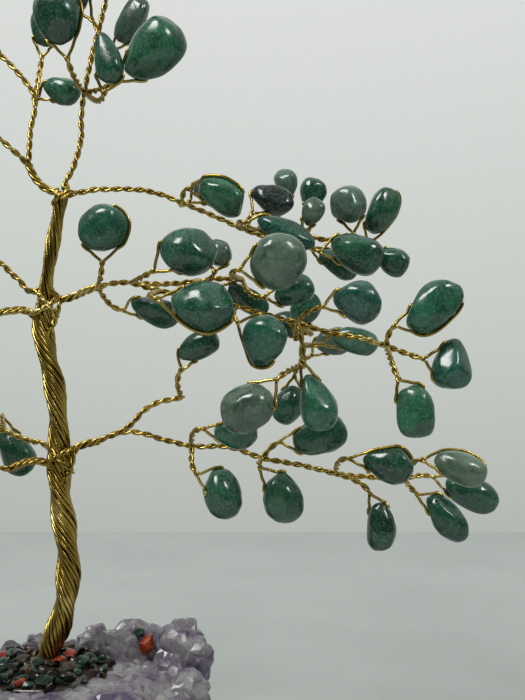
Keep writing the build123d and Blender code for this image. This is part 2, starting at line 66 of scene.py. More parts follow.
# The layout's frame, as in the part's source.
CROWN_REACH = 135.0
CROWN_DEPTH = 40.0
VIEW_DISTANCE = 330.0
EYE_COLUMN = 262
EYE_ROW = 350
FOOT_COLUMN = 44
FOOT_ROW = 669
TIP_COLUMN = 481
BASE_TOP = 30.0
SOCKET_DEPTH = 12.0
STONE_LENGTH = 15.5
STONE_LENGTH_PX = 50
ROLL_SWING = 22.0
ROLL_STEP = 77.0
HOLE_SHARE = 0.66
NECK_SHARE = 0.42
BASE_HALF_LENGTH = 49.0
BASE_HALF_DEPTH = 38.0
BASE_SHIFT = 4.0
OUTLINE_SHARES = (1.0, 0.93, 0.98, 0.9, 0.97, 1.0, 0.92, 0.97, 0.89, 0.99, 0.93, 0.98, 0.91)
CRYSTAL_RADIUS = 7.4
CRYSTAL_LENGTH = 24.0
GLUE_RADIUS = 21.0
GLUE_HEIGHT = 3.6
CHIP_LENGTH = 5.6
CHIP_WIDTH = 4.6
CHIP_THICKNESS = 3.6
CHIP_SINK_SHARE = 0.15
CHIP_RINGS = ((7.6, 8, 0.0, 360.0), (13.0, 13, 10.0, 360.0), (18.6, 10, 116.0, 205.0))
CHIP_SIZE_SHARES = (1.0, 0.82, 0.93, 0.76, 0.97)
CHIP_KINDS = ("red", "green", "dark", "brown", "dark", "clear", "green")
LONE_CHIPS = (("red", (147, 644, 0.1), 62.0, 1.25), ("green", (138.5, 632.5, 0.17), 0.0, 0.8))


# Tips of the crystal lumps: column, row, depth share, share of the radius.
CRYSTALS = (
    (99, 624, 0.5, 0.9), (118, 631, 0.42, 0.8), (136, 617, 0.38, 1.1), (154, 622, 0.34, 0.9),
    (171, 630, 0.26, 0.8), (187, 619, 0.2, 1.05), (202, 636, 0.05, 0.8), (128, 668, 0.08, 0.8),
    (150, 660, 0.1, 0.95), (176, 656, 0.02, 1.0), (196, 668, -0.2, 0.9), (158, 690, -0.22, 0.9),
    (182, 694, -0.42, 0.9), (140, 712, -0.55, 0.9), (104, 722, -0.7, 0.85), (62, 728, -0.8, 0.95),
    (20, 724, -0.78, 0.9), (-20, 712, -0.62, 0.9), (-52, 692, -0.35, 0.95), (-68, 672, -0.05, 0.8),
    (-70, 652, 0.25, 1.0), (-48, 646, 0.5, 0.85), (-20, 641, 0.66, 1.0), (10, 640, 0.7, 0.8),
    (36, 633, 0.62, 0.85), (70, 640, 0.62, 0.9), (150, 640, 0.7, 0.9), (90, 648, 0.85, 0.9),
)

# Trunk from the foot up, and the runs in whose middle the bundle loses wires.
TRUNK = (
    (44, 669, 0), (50, 648, 0), (63, 612, 0), (68, 575, 0), (66, 540, 0), (61, 505, 0), (59, 470, 0),
    (58, 425, 0), (55, 392, 0), (46, 350, 0), (42, 322, 0), (46, 285, 0), (55, 228, 0), (62, 192, 0),
)
TRUNK_SPLITS = (6, 10)

# Limbs. Each has named places, the thick limb, the ropes that fork from it, and its stones:
# column, row, depth share, length, width, tilt, neck, form, fork. The tilt points to the wide end of the
# stone and the neck to its wire, in degrees. A stone with a name hangs free on its loop.
LOW_RIGHT = {
    "places": {
        "root": (76.4, 448, 0), "a": (98, 441, -0.02), "b": (114, 434, 0.02), "c": (134, 432, 0.05),
        "d": (164, 440, 0.05), "e": (192, 446, 0.0), "f": (228, 447, 0.06), "g": (262, 458, 0.0),
        "h": (300, 465, 0.06), "i": (336, 474, 0.05), "j": (370, 477, 0.16), "k": (404, 479, 0.1),
        "m": (126, 428, -0.1), "n": (150, 406, -0.08), "o": (182, 397, -0.05),
    },
    "limb": "root a",
    "ropes": ("a b c d e f g h i", "i j k", "a m n o"),
    "stones": (
        (198, 346, -0.3, 44, 27, 28, 234, "egg", "o", ""),
        (235, 433, -0.3, 42, 32, 0, 172, "egg", "e", ""),
        (319, 436, 0.0, 54, 38, 18, 188, "egg", "g", ""),
        (222, 494, -0.15, 50, 38, 280, 142, "egg", "e", "low_right_drop_a"),
        (282, 497, -0.15, 52, 39, 286, 128, "egg", "g", "low_right_drop_b"),
        (387, 464, -0.28, 50, 38, -8, 172, "drop", "i", ""),
        (380, 527, -0.1, 48, 29, 272, 108, "egg", "i", "low_right_drop_c"),
        (446, 518, -0.2, 52, 31, -55, 141, "bean", "k", "low_right_drop_d"),
        (460, 468, -0.12, 52, 34, -20, 168, "egg", "k", ""),
        (471, 493, 0.28, 54, 34, -20, 157, "egg", "k", ""),
    ),
}
MID_RIGHT = {
    "places": {
        "root": (58.5, 298.7, 0), "a": (74, 296, -0.04), "b": (88, 290, -0.1), "c": (98, 287, -0.12),
        "d": (115, 283, -0.15), "e": (131, 283, -0.2), "f": (158, 284, -0.1), "g": (190, 282, 0.04),
        "h": (216, 279, 0.04), "i": (241, 279, -0.08), "j": (160, 291, -0.3), "k": (200, 300, -0.34),
        "m": (235, 306, -0.32), "n": (266, 315, -0.3), "o": (297, 323, -0.28), "p": (330, 333, -0.3),
        "q": (360, 338, -0.32), "r": (386, 346, -0.3), "s": (302, 345, -0.26), "t": (303, 366, -0.26),
    },
    "limb": "root a b c",
    "ropes": ("c d e f g h i", "e j k m n o p q r", "o s t"),
    "stones": (
        (103, 228, -0.35, 48, 45, 30, 268, "round", "c", ""),
        (155, 311, 0.12, 48, 30, -22, 180, "egg", "c", ""),
        (187, 252, -0.6, 56, 46, -5, 209, "round", "e", ""),
        (217, 252, -0.25, 30, 26, -20, 262, "egg", "g", ""),
        (203, 306, -0.8, 62, 51, -15, 172, "egg", "j", ""),
        (246, 299, -0.02, 46, 23, -30, 160, "bean", "g", ""),
        (278, 261, -0.75, 56, 54, 60, 192, "round", "i", ""),
        (294, 291, -0.4, 40, 30, 25, 192, "egg", "i", ""),
        (263, 341, -0.62, 50, 44, 80, 146, "egg", "m", ""),
        (304, 309, 0.06, 36, 30, 60, 255, "egg", "o", ""),
        (282, 325, 0.3, 34, 26, 10, 340, "egg", "o", ""),
        (357, 301, -0.62, 46, 44, -10, 190, "egg", "o", ""),
        (433, 306, -0.42, 62, 40, 45, 207, "bean", "r", ""),
        (451, 364, -0.3, 50, 42, 265, 170, "drop", "r", ""),
        (414, 412, -0.75, 50, 38, 275, 116, "bean", "r", "mid_right_drop_a"),
        (354, 341, 0.2, 48, 28, -14, 187, "egg", "s", ""),
        (332, 341, 0.55, 36, 28, 0, 215, "egg", "s", ""),
        (316, 402, -0.45, 56, 38, 290, 110, "drop", "t", "mid_right_drop_b"),
        (246, 408, -0.78, 56, 48, 30, 44, "round", "t", ""),
        (288, 405, 0.42, 38, 30, 250, 78, "egg", "t", ""),
    ),
}
TOP_RIGHT = {
    "places": {
        "root": (75.5, 193, 0), "a": (92, 190, 0.03), "b": (112, 189, 0.08), "c": (140, 190, 0.14),
        "d": (162, 195, 0.2), "e": (182, 203, 0.22), "f": (216, 217, 0.32), "g": (248, 231, 0.32),
        "h": (276, 238, 0.34), "i": (304, 236, 0.3), "j": (328, 240, 0.18), "k": (350, 236, 0.3),
        "m": (368, 243, 0.26),
    },
    "limb": "root a b",
    "ropes": ("b c d e f g h i j k m",),
    "stones": (
        (210, 192, 0.58, 36, 26, -25, 205, "egg", "e", ""),
        (222, 196, 0.05, 50, 33, -30, 168, "bean", "e", ""),
        (285, 233, -0.08, 58, 27, -24, 166, "egg", "g", ""),
        (272, 200, 0.44, 44, 30, -22, 215, "egg", "g", ""),
        (285, 184, 0.8, 30, 23, 95, 262, "egg", "g", ""),
        (312, 193, 0.5, 30, 27, 80, 268, "egg", "i", ""),
        (312, 212, 0.05, 28, 23, 62, 246, "egg", "i", ""),
        (357, 253, 0.12, 52, 38, -22, 178, "egg", "i", ""),
        (338, 264, 0.42, 42, 27, -30, 150, "egg", "i", ""),
        (348, 205, 0.36, 37, 36, 100, 280, "round", "k", ""),
        (381, 211, 0.62, 46, 29, 62, 248, "bean", "m", ""),
        (393, 262, 0.3, 34, 28, -32, 158, "egg", "m", ""),
    ),
}
TOP_LEADER = {
    "places": {
        "root": (64, 185.5, 0), "a": (74, 164, 0.02), "b": (81, 138, 0.05), "c": (81, 114, 0.05),
        "d": (84, 92, 0.02), "e": (90, 62, 0.06), "f": (98, 30, 0.1), "g": (106, -5, 0.1),
        "h": (108, -42, 0.06),
    },
    "limb": "root a b",
    "ropes": ("b c d e f g h",),
    "stones": (
        (57, 16, -0.45, 58, 46, 100, 283, "egg", "d", ""),
        (152, 50, -0.3, 66, 52, 45, 220, "egg", "d", ""),
        (107, 58, -0.56, 50, 29, 284, 264, "drop", "d", ""),
        (131, 20, 0.4, 48, 27, 66, 238, "bean", "f", ""),
        (74, -10, 0.1, 44, 34, 120, 300, "egg", "f", ""),
        (146, -36, -0.1, 48, 36, 20, 208, "egg", "g", ""),
        (94, -92, 0.2, 48, 34, 100, 282, "egg", "h", ""),
        (134, -84, -0.3, 44, 34, 50, 238, "egg", "h", ""),
        (62, -66, -0.3, 46, 32, 150, 328, "bean", "h", ""),
    ),
}
TOP_LEFT = {
    "places": {
        "root": (48.5, 190.3, 0), "a": (36, 180, 0), "b": (28, 165, 0), "c": (30, 131, 0.06),
        "d": (34, 98, 0.08), "e": (20, 76, 0.1), "f": (0, 55, 0.1), "g": (10, 148, -0.06),
        "h": (-18, 127, -0.08), "i": (-47, 109, -0.04), "j": (-80, 92, -0.06), "k": (-112, 82, -0.02),
    },
    "limb": "root a b",
    "ropes": ("b c d e f", "b g h i j k"),
    "stones": (
        (61, 90, 0.24, 36, 28, -20, 199, "egg", "d", ""),
        (46, 24, 0.32, 44, 32, 80, 262, "egg", "d", ""),
        (-20, 12, 0.1, 44, 34, 110, 292, "egg", "f", ""),
        (-48, 50, 0.3, 42, 34, 170, 345, "egg", "f", ""),
        (-55, 62, -0.38, 48, 34, 100, 285, "egg", "i", ""),
        (-62, 152, -0.32, 50, 34, 250, 68, "egg", "i", "top_left_drop"),
        (-92, 42, -0.1, 50, 40, 95, 280, "round", "j", ""),
        (-104, 134, -0.2, 48, 36, 260, 72, "bean", "j", ""),
        (-134, 38, 0.25, 46, 36, 120, 300, "egg", "k", ""),
        (-158, 84, -0.1, 52, 38, 180, 0, "drop", "k", ""),
        (-148, 126, -0.35, 46, 34, 235, 50, "egg", "k", ""),
    ),
}
MID_LEFT_HIGH = {
    "places": {
        "root": (32, 292, 0.02), "a": (18, 280, 0.06), "b": (0, 263, 0.12), "c": (-30, 245, 0.16),
        "d": (-65, 233, 0.2), "e": (-100, 226, 0.22), "f": (-140, 214, 0.2),
    },
    "limb": "root a b",
    "ropes": ("b c d e f",),
    "stones": (
        (-26, 198, 0.3, 50, 38, 80, 265, "egg", "c", ""),
        (-40, 288, 0.3, 44, 32, 270, 78, "egg", "c", ""),
        (-78, 186, 0.25, 52, 40, 100, 280, "egg", "d", ""),
        (-84, 276, 0.05, 48, 34, 250, 62, "bean", "d", "mid_left_drop_a"),
        (-122, 178, 0.5, 46, 34, 100, 290, "egg", "e", ""),
        (-120, 268, 0.35, 50, 38, 255, 70, "drop", "e", ""),
        (-164, 182, 0.1, 52, 40, 125, 308, "round", "f", ""),
        (-186, 222, 0.25, 50, 36, 190, 8, "egg", "f", ""),
        (-158, 258, 0.08, 46, 36, 250, 66, "egg", "f", ""),
    ),
}
MID_LEFT_LOW = {
    "places": {
        "root": (26, 311, -0.02), "a": (8, 311, -0.08), "b": (-8, 314, -0.14), "c": (-42, 325, -0.24),
        "d": (-82, 330, -0.26), "e": (-126, 326, -0.24), "f": (-170, 331, -0.2), "g": (-214, 322, -0.18),
    },
    "limb": "root a b",
    "ropes": ("b c d e f g",),
    "stones": (
        (-36, 368, -0.5, 52, 40, 265, 86, "egg", "c", ""),
        (-84, 290, -0.55, 48, 38, 95, 276, "egg", "d", ""),
        (-90, 374, -0.5, 48, 34, 260, 78, "bean", "d", "mid_left_drop_b"),
        (-134, 284, -0.5, 52, 40, 100, 280, "drop", "e", ""),
        (-136, 366, -0.52, 50, 38, 262, 82, "egg", "e", ""),
        (-184, 292, -0.4, 48, 36, 110, 286, "egg", "f", ""),
        (-180, 374, -0.48, 52, 40, 262, 82, "round", "f", ""),
        (-242, 284, -0.3, 52, 38, 130, 308, "bean", "g", ""),
        (-262, 328, -0.1, 54, 38, 190, 6, "egg", "g", ""),
        (-238, 366, -0.5, 48, 36, 240, 60, "egg", "g", ""),
    ),
}
LOW_LEFT_FRONT = {
    "places": {
        "root": (43.2, 462, -0.094), "a": (26, 462, -0.16), "b": (10, 469, -0.2), "c": (-40, 466, -0.24),
        "d": (-85, 475, -0.22), "e": (-130, 470, -0.22), "f": (-175, 480, -0.18), "g": (-220, 474, -0.14),
    },
    "limb": "root a b",
    "ropes": ("b c d e f g",),
    "stones": (
        (-48, 512, -0.3, 52, 38, 262, 82, "egg", "c", "low_left_drop_a"),
        (-46, 426, 0.05, 46, 36, 95, 275, "egg", "c", ""),
        (-92, 432, 0.1, 52, 40, 100, 280, "round", "d", ""),
        (-94, 521, -0.15, 50, 36, 265, 84, "bean", "d", "low_left_drop_b"),
        (-136, 428, 0.08, 48, 36, 95, 275, "drop", "e", ""),
        (-142, 512, -0.38, 52, 40, 258, 74, "egg", "e", ""),
        (-184, 438, 0.12, 50, 38, 105, 284, "egg", "f", ""),
        (-188, 524, -0.1, 48, 34, 255, 76, "egg", "f", ""),
        (-248, 438, 0.1, 52, 38, 130, 308, "egg", "g", ""),
        (-268, 482, -0.1, 54, 38, 180, 0, "drop", "g", ""),
        (-242, 520, -0.3, 48, 36, 240, 60, "bean", "g", ""),
    ),
}
LOW_LEFT_BACK = {
    "places": {
        "root": (47.2, 447, 0.089), "a": (26, 440, 0.2), "b": (4, 431, 0.3), "c": (-40, 416, 0.4),
        "d": (-85, 406, 0.46), "e": (-130, 410, 0.5), "f": (-175, 400, 0.5), "g": (-215, 406, 0.48),
    },
    "limb": "root a b",
    "ropes": ("b c d e f g",),
    "stones": (
        (15, 452, 0.6, 48, 34, 300, 110, "egg", "b", ""),
        (-34, 368, 0.5, 48, 38, 85, 266, "egg", "c", ""),
        (-90, 360, 0.6, 50, 38, 100, 278, "egg", "d", ""),
        (-86, 452, 0.6, 48, 36, 265, 86, "egg", "d", ""),
        (-134, 366, 0.4, 46, 34, 95, 276, "round", "e", ""),
        (-136, 456, 0.5, 50, 36, 262, 82, "bean", "e", "low_left_drop_c"),
        (-182, 354, 0.6, 52, 40, 105, 284, "egg", "f", ""),
        (-184, 446, 0.65, 48, 36, 255, 78, "egg", "f", ""),
        (-248, 372, 0.4, 50, 36, 130, 310, "egg", "g", ""),
        (-262, 414, 0.55, 52, 38, 190, 8, "drop", "g", ""),
        (-236, 452, 0.4, 48, 36, 240, 62, "egg", "g", ""),
    ),
}
LIMBS = {
    "low_right": LOW_RIGHT,
    "mid_right": MID_RIGHT,
    "top_right": TOP_RIGHT,
    "top_leader": TOP_LEADER,
    "top_left": TOP_LEFT,
    "mid_left_high": MID_LEFT_HIGH,
    "mid_left_low": MID_LEFT_LOW,
    "low_left_front": LOW_LEFT_FRONT,
    "low_left_back": LOW_LEFT_BACK,
}


# Shades of the stones: deep, mid, black, grey, teal and light green.
TONES = {"d": "#10402C", "m": "#1C5039", "b": "#14211B", "g": "#4A6253", "t": "#154A3A", "l": "#3A6A50"}
STONE_TONES = {
    "low_right": "dmmmmdddgm",
    "mid_right": "mmmgtdgmtddtmtmlgmgm",
    "top_right": "gmtbgmgmmgdt",
    "top_leader": "dmtgdmdtm",
}
OTHER_TONES = "mdtmlmdmtdm"
# How each stone's wire goes on: "." through a hole near its neck, "l" or "r" round a flank to its far end.
STONE_WRAPS = {
    "low_right": ".....r..r.",
    "mid_right": "l...l...l...l.......",
    "top_right": ".r........l.",
    "top_leader": "l...",
}

# The finish of each kind of chip.
CHIP_SLOTS = {
    "red": "red_jasper", "green": "green_chip", "dark": "dark_agate", "brown": "tiger_eye",
    "clear": "rock_crystal",
}

# How far a strand is out of its place, as a share of the way to the next, and off its radius.
UNEVEN_PLACE = 0.25
UNEVEN_RADIUS = 0.06

# The stage, in millimetres: the floor's corners, the lamps with their places, sizes and powers in watts, the
# point that they aim at, the way to the brightest light, and the camera's rows and sensor.
FLOOR_CORNERS = ((-900, -900), (1000, -900), (1000, 424), (-900, 424))
LAMPS = (("key", (-300, -500, 850), 380, 6.5), ("fill", (600, -450, 600), 160, 1.6))
LAMP_AIM = (50, 0, 140)
LIGHT_WAY = (0.0, 0.55, 0.83)
FRAME_ROWS = 700
SENSOR_HEIGHT = 36.0


def spread(depth_share):
    """How much larger a thing is than it looks, for its depth."""
    return 1 + depth_share * CROWN_DEPTH / VIEW_DISTANCE


def place(column, row, depth_share):
    """The point in metres for a column, a row and a depth share."""
    scale = CROWN_REACH / (TIP_COLUMN - FOOT_COLUMN)
    wide = spread(depth_share)
    across = (column - EYE_COLUMN) * wide - (FOOT_COLUMN - EYE_COLUMN)
    up = (EYE_ROW - row) * wide - (EYE_ROW - FOOT_ROW)
    return Vector((across * scale, depth_share * CROWN_DEPTH, BASE_TOP + up * scale)) * MM


def linear(code, alpha=1.0):
    """A colour for a shader from its sRGB code."""
    values = []
    for i in (1, 3, 5):
        c = int(code[i : i + 2], 16) / 255
        values.append(c / 12.92 if c <= 0.04045 else ((c + 0.055) / 1.055) ** 2.4)
    return (*values, alpha)


class StoneSpot:
    """One stone of a limb: its frame, its hole and where its wire leaves it, in metres."""

    def __init__(self, row, number):
        column, line, depth_share, length, width, tilt, neck, self.form, self.fork, self.name = row
        seen = STONE_LENGTH / STONE_LENGTH_PX * spread(depth_share) * MM
        self.a = length * seen / 2
        self.b = width * seen / 2
        self.centre = place(column, line, depth_share)
        roll = math.radians(ROLL_SWING * math.sin(math.radians(ROLL_STEP * number)))
        angle = math.radians(tilt)
        self.u = Vector((math.cos(angle), 0, math.sin(angle)))
        flat = Vector((-math.sin(angle), 0, math.cos(angle)))
        front = Vector((0, -1, 0))
        self.v = flat * math.cos(roll) + front * math.sin(roll)
        self.w = front * math.cos(roll) - flat * math.sin(roll)
        lean = math.radians(neck - tilt)
        self.neck_way = self.u * math.cos(lean) + self.v * math.sin(lean)
        self.hole_way = self.v * math.cos(lean) - self.u * math.sin(lean)
        reach = self.a * self.b / math.hypot(self.b * math.cos(lean), self.a * math.sin(lean))
        depth = HOLE_SHARE * reach
        self.hole = self.centre + self.neck_way * depth
        self.neck = self.centre + self.neck_way * (reach + NECK_SHARE * reach)
        n = (math.cos(lean) / self.a, math.sin(lean) / self.b)
        h = (-math.sin(lean) / self.a, math.cos(lean) / self.b)
        square = h[0] ** 2 + h[1] ** 2
        half = depth * (n[0] * h[0] + n[1] * h[1])
        rest = depth**2 * (n[0] ** 2 + n[1] ** 2) - 1
        root = math.sqrt(half * half - square * rest)
        self.exits = ((root - half) / square, (-root - half) / square)


def stone_spots(limb):
    """Every stone of a limb."""
    return [StoneSpot(row, number) for number, row in enumerate(limb["stones"])]


def through(points, steps):
    """A smooth line through points, with a number of steps between each two."""
    ends = [points[0] * 2 - points[1]] + list(points) + [points[-1] * 2 - points[-2]]
    line = []
    for i in range(1, len(ends) - 2):
        before, start, stop, after = ends[i - 1 : i + 3]
        for k in range(steps):
            t = k / steps
            line.append(
                0.5
                * (
                    2 * start
                    + (stop - before) * t
                    + (2 * before - 5 * start + 4 * stop - after) * t**2
                    + (3 * start - before - 3 * stop + after) * t**3
                )
            )
    line.append(points[-1].copy())
    return line


class GemTreeWire(bpy.types.PropertyGroup):
    """Sizes of the wire and of its twist."""

    wire: bpy.props.FloatProperty(
        name="Wire radius", description="Radius of the wire in ropes and twigs",
        default=0.48 * MM, unit="LENGTH",
    )
    fine: bpy.props.FloatProperty(
        name="Trunk wire radius", description="Radius of the wire in the trunk and the roots",
        default=0.5 * MM, unit="LENGTH",
    )
    pair_pitch: bpy.props.FloatProperty(
        name="Pair pitch", description="Length of one turn of a twisted pair",
        default=7.0 * MM, unit="LENGTH",
    )
    rope_pitch: bpy.props.FloatProperty(
        name="Rope pitch", description="Length of one turn of a thick root",
        default=11.0 * MM, unit="LENGTH",
    )
    trunk_pitch: bpy.props.FloatProperty(
        name="Trunk pitch", description="Length of one turn of the trunk's bundle",
        default=34.0 * MM, unit="LENGTH",
    )
    step: bpy.props.FloatProperty(
        name="Step", description="Distance between two rings of a wire's mesh",
        default=0.4 * MM, unit="LENGTH",
    )
    sides: bpy.props.IntProperty(
        name="Wire sides", description="Sides of a wire's mesh",
        default=8, min=5, subtype="UNSIGNED",
    )


class GemTreeStone(bpy.types.PropertyGroup):
    """Shape of the tumbled stones."""

    flatness: bpy.props.FloatProperty(
        name="Thickness share", description="Thickness of a stone as a share of its width",
        default=0.8, subtype="FACTOR",
    )
    swell: bpy.props.FloatProperty(
        name="Size share", description="Size of a stone before its flats are ground off",
        default=1.05, subtype="FACTOR",
    )
    rough: bpy.props.FloatProperty(
        name="Unevenness", description="How far a stone's surface swells and dips",
        default=0.075, subtype="FACTOR",
    )
    detail: bpy.props.IntProperty(
        name="Detail", description="Subdivisions of a stone's mesh",
        default=5, min=2, max=5, subtype="UNSIGNED",
    )
    seed: bpy.props.IntProperty(
        name="Seed", description="Chance that shapes and shades the stones",
        default=11, subtype="UNSIGNED",
    )


class GemTreeBase(bpy.types.PropertyGroup):
    """Sizes of the cluster's surface."""

    voxel: bpy.props.FloatProperty(
        name="Voxel", description="Fineness at which block and crystals melt together",
        default=0.6 * MM, unit="LENGTH",
    )
    facets: bpy.props.FloatProperty(
        name="Facet share", description="Share of the faces that stay when facets are cleaved",
        default=0.07, subtype="FACTOR",
    )
    ripple: bpy.props.FloatProperty(
        name="Ripple", description="How far the rough surface moves in and out",
        default=0.9 * MM, unit="LENGTH",
    )
    seed: bpy.props.IntProperty(
        name="Seed", description="Chance that shapes the crystals",
        default=5, subtype="UNSIGNED",
    )


def node_adder(tree):
    """The function that adds one node to a tree.

    It takes the node's inputs by name, each a value, a socket or a node whose first output is meant, the
    stops of its colour ramp and its settings.
    """

    def add(kind, inputs=None, stops=(), **settings):
        node = tree.nodes.new(kind)
        for key, value in settings.items():
            setattr(node, key, value)
        for number, (spot, code) in enumerate(stops):
            elements = node.color_ramp.elements
            element = elements[number] if number < len(elements) else elements.new(spot)
            element.position = spot
            element.color = linear(code)
        for key, value in (inputs or {}).items():
            socket = next(item for item in node.inputs if key in (item.identifier, item.name))
            if isinstance(value, bpy.types.Node):
                value = next(item for item in value.outputs if item.enabled)
            if isinstance(value, bpy.types.NodeSocket):
                tree.links.new(value, socket)
            else:
                socket.default_value = value
        return node

    return add


def new_material(name):
    """An empty material, the function that adds its nodes and the place on the object, in metres."""
    material = bpy.data.materials.new(name)
    material.use_nodes = True
    material.node_tree.nodes.clear()
    add = node_adder(material.node_tree)
    return material, add, add("ShaderNodeTexCoord").outputs["Object"]


def brass_material():
    """Polished brass wire: warm yellow metal, a little browner in places, with fine drawing marks."""
    material, add, spot = new_material("Brass wire")
    tint = add(
        "ShaderNodeTexNoise", {"Vector": spot, "Scale": 1 / (9.0 * MM), "Detail": 3.0, "Roughness": 0.55}
    )
    colours = add(
        "ShaderNodeValToRGB", {"Fac": tint}, stops=((0.3, "#86702F"), (0.55, "#B0964A"), (0.75, "#DCC880"))
    )
    wear = add(
        "ShaderNodeTexNoise", {"Vector": spot, "Scale": 1 / (1.2 * MM), "Detail": 4.0, "Roughness": 0.55}
    )
    gloss = add("ShaderNodeMapRange", {"Value": wear, "To Min": 0.14, "To Max": 0.34})
    marks = add("ShaderNodeBump", {"Height": wear, "Strength": 0.25, "Distance": 0.05 * MM})
    shader = add(
        "ShaderNodeBsdfPrincipled",
        {"Base Color": colours, "Metallic": 1.0, "Roughness": gloss, "Normal": marks},
    )
    add("ShaderNodeOutputMaterial", {"Surface": shader})
    return material


def aventurine_material():
    """Polished green aventurine: each stone in its own shade, with clouds, dark grains and pale mica speckles,
    partly the mica's own colour and partly a painted glint.
    """
    material, add, spot = new_material("Green aventurine")
    tone = add("ShaderNodeAttribute", attribute_name="tone")
    cloud = add(
        "ShaderNodeTexNoise",
        {"Vector": spot, "Scale": 1 / (5.0 * MM), "Detail": 5.0, "Roughness": 0.6, "Distortion": 0.6},
    )
    shade = add(
        "ShaderNodeMapRange",
        {"Value": cloud, "From Min": 0.3, "From Max": 0.7, "To Min": 0.5, "To Max": 1.55},
    )
    clouded = add(
        "ShaderNodeMix", {"Factor_Float": 1.0, "A_Color": tone, "B_Color": shade},
        data_type="RGBA", blend_type="MULTIPLY",
    )
    mica_and_glint_flecks = add(
        "ShaderNodeTexNoise", {"Vector": spot, "Scale": 1 / (0.8 * MM), "Detail": 3.0, "Roughness": 0.55}
    )
    # Pale mica speckles: partly the mica's own pale colour, partly a painted glint of its sparkle.
    pick = add("ShaderNodeMapRange", {"Value": mica_and_glint_flecks, "From Min": 0.48, "From Max": 0.76, "To Max": 0.32})
    pale = add(
        "ShaderNodeMix", {"Factor_Float": pick, "A_Color": clouded, "B_Color": linear("#7FA08C")},
        data_type="RGBA",
    )
    grains = add(
        "ShaderNodeTexNoise", {"Vector": spot, "Scale": 1 / (1.6 * MM), "Detail": 3.0, "Roughness": 0.55}
    )
    spots = add("ShaderNodeMapRange", {"Value": grains, "From Min": 0.62, "From Max": 0.72, "To Max": 0.6})
    dark = add(
        "ShaderNodeMix",
        {"Factor_Float": spots, "A_Color": pale, "B_Color": linear("#0A1A12")}, data_type="RGBA",
    )
    gloss = add(
        "ShaderNodeMapRange",
        {"Value": cloud, "From Min": 0.3, "From Max": 0.7, "To Min": 0.12, "To Max": 0.26},
    )
    relief = add("ShaderNodeBump", {"Height": mica_and_glint_flecks, "Strength": 0.12, "Distance": 0.12 * MM})
    shader = add(
        "ShaderNodeBsdfPrincipled",
        {
            "Base Color": dark, "Roughness": gloss, "IOR": 1.55, "Coat Weight": 0.15,
            "Coat Roughness": 0.08, "Normal": relief,
        },
    )
    add("ShaderNodeOutputMaterial", {"Surface": shader})
    return material


def amethyst_material():
    """Amethyst cluster: milky white to grey-lilac quartz with purple patches and small sparkling facets."""
    material, add, spot = new_material("Amethyst")
    patch = add(
        "ShaderNodeTexNoise",
        {"Vector": spot, "Scale": 1 / (16.0 * MM), "Detail": 4.0, "Roughness": 0.6, "Distortion": 0.5},
    )
    shades = ((0.34, "#A3A09F"), (0.46, "#857F86"), (0.56, "#6C6178"), (0.66, "#4C3E62"), (0.76, "#32274A"))
    colours = add("ShaderNodeValToRGB", {"Fac": patch}, stops=shades)
    veil = add(
        "ShaderNodeTexNoise", {"Vector": spot, "Scale": 1 / (4.0 * MM), "Detail": 5.0, "Roughness": 0.55}
    )
    pick = add("ShaderNodeMapRange", {"Value": veil, "From Min": 0.5, "From Max": 0.72, "To Max": 0.65})
    frost = add(
        "ShaderNodeMix", {"Factor_Float": pick, "A_Color": colours, "B_Color": linear("#BDBAB8")},
        data_type="RGBA",
    )
    gloss = add(
        "ShaderNodeMapRange",
        {"Value": veil, "From Min": 0.35, "From Max": 0.65, "To Min": 0.16, "To Max": 0.42},
    )
    facets = add("ShaderNodeTexVoronoi", {"Vector": spot, "Scale": 1 / (2.4 * MM)})
    relief = add("ShaderNodeBump", {"Height": facets, "Strength": 0.3, "Distance": 0.3 * MM})
    shader = add(
        "ShaderNodeBsdfPrincipled",
        {
            "Base Color": frost, "Roughness": gloss, "Transmission Weight": 0.4, "Subsurface Weight": 0.3,
            "Subsurface Radius": (1.0, 0.9, 1.0), "Subsurface Scale": 4 * MM, "Coat Weight": 0.1,
            "Coat Roughness": 0.08, "Normal": relief,
        },
    )
    add("ShaderNodeOutputMaterial", {"Surface": shader})
    return material


def chip_material(name, stops, clear=0.0):
    """A small polished chip: banded and clouded in its own shades."""
    material, add, spot = new_material(name)
    cloud = add(
        "ShaderNodeTexNoise",
        {"Vector": spot, "Scale": 1 / (3.0 * MM), "Detail": 4.0, "Roughness": 0.55, "Distortion": 0.8},
    )
    colours = add("ShaderNodeValToRGB", {"Fac": cloud}, stops=stops)
    gloss = add(
        "ShaderNodeMapRange",
        {"Value": cloud, "From Min": 0.3, "From Max": 0.7, "To Min": 0.12, "To Max": 0.3},
    )
    shader = add(
        "ShaderNodeBsdfPrincipled",
        {
            "Base Color": colours, "Roughness": gloss, "Transmission Weight": clear,
            "Specular IOR Level": 0.35,
        },
    )
    add("ShaderNodeOutputMaterial", {"Surface": shader})
    return material


def glue_material():
    """Clear set glue, a little yellow, with soft ripples."""
    material, add, spot = new_material("Clear glue")
    ripple = add(
        "ShaderNodeTexNoise", {"Vector": spot, "Scale": 1 / (5.0 * MM), "Detail": 3.0, "Roughness": 0.55}
    )
    colours = add("ShaderNodeValToRGB", {"Fac": ripple}, stops=((0.35, "#241E17"), (0.7, "#463C30")))
    relief = add("ShaderNodeBump", {"Height": ripple, "Strength": 0.4, "Distance": 0.6 * MM})
    shader = add(
        "ShaderNodeBsdfPrincipled",
        {
            "Base Color": colours, "Roughness": 0.2, "IOR": 1.49, "Transmission Weight": 0.3,
            "Normal": relief,
        },
    )
    add("ShaderNodeOutputMaterial", {"Surface": shader})
    return material


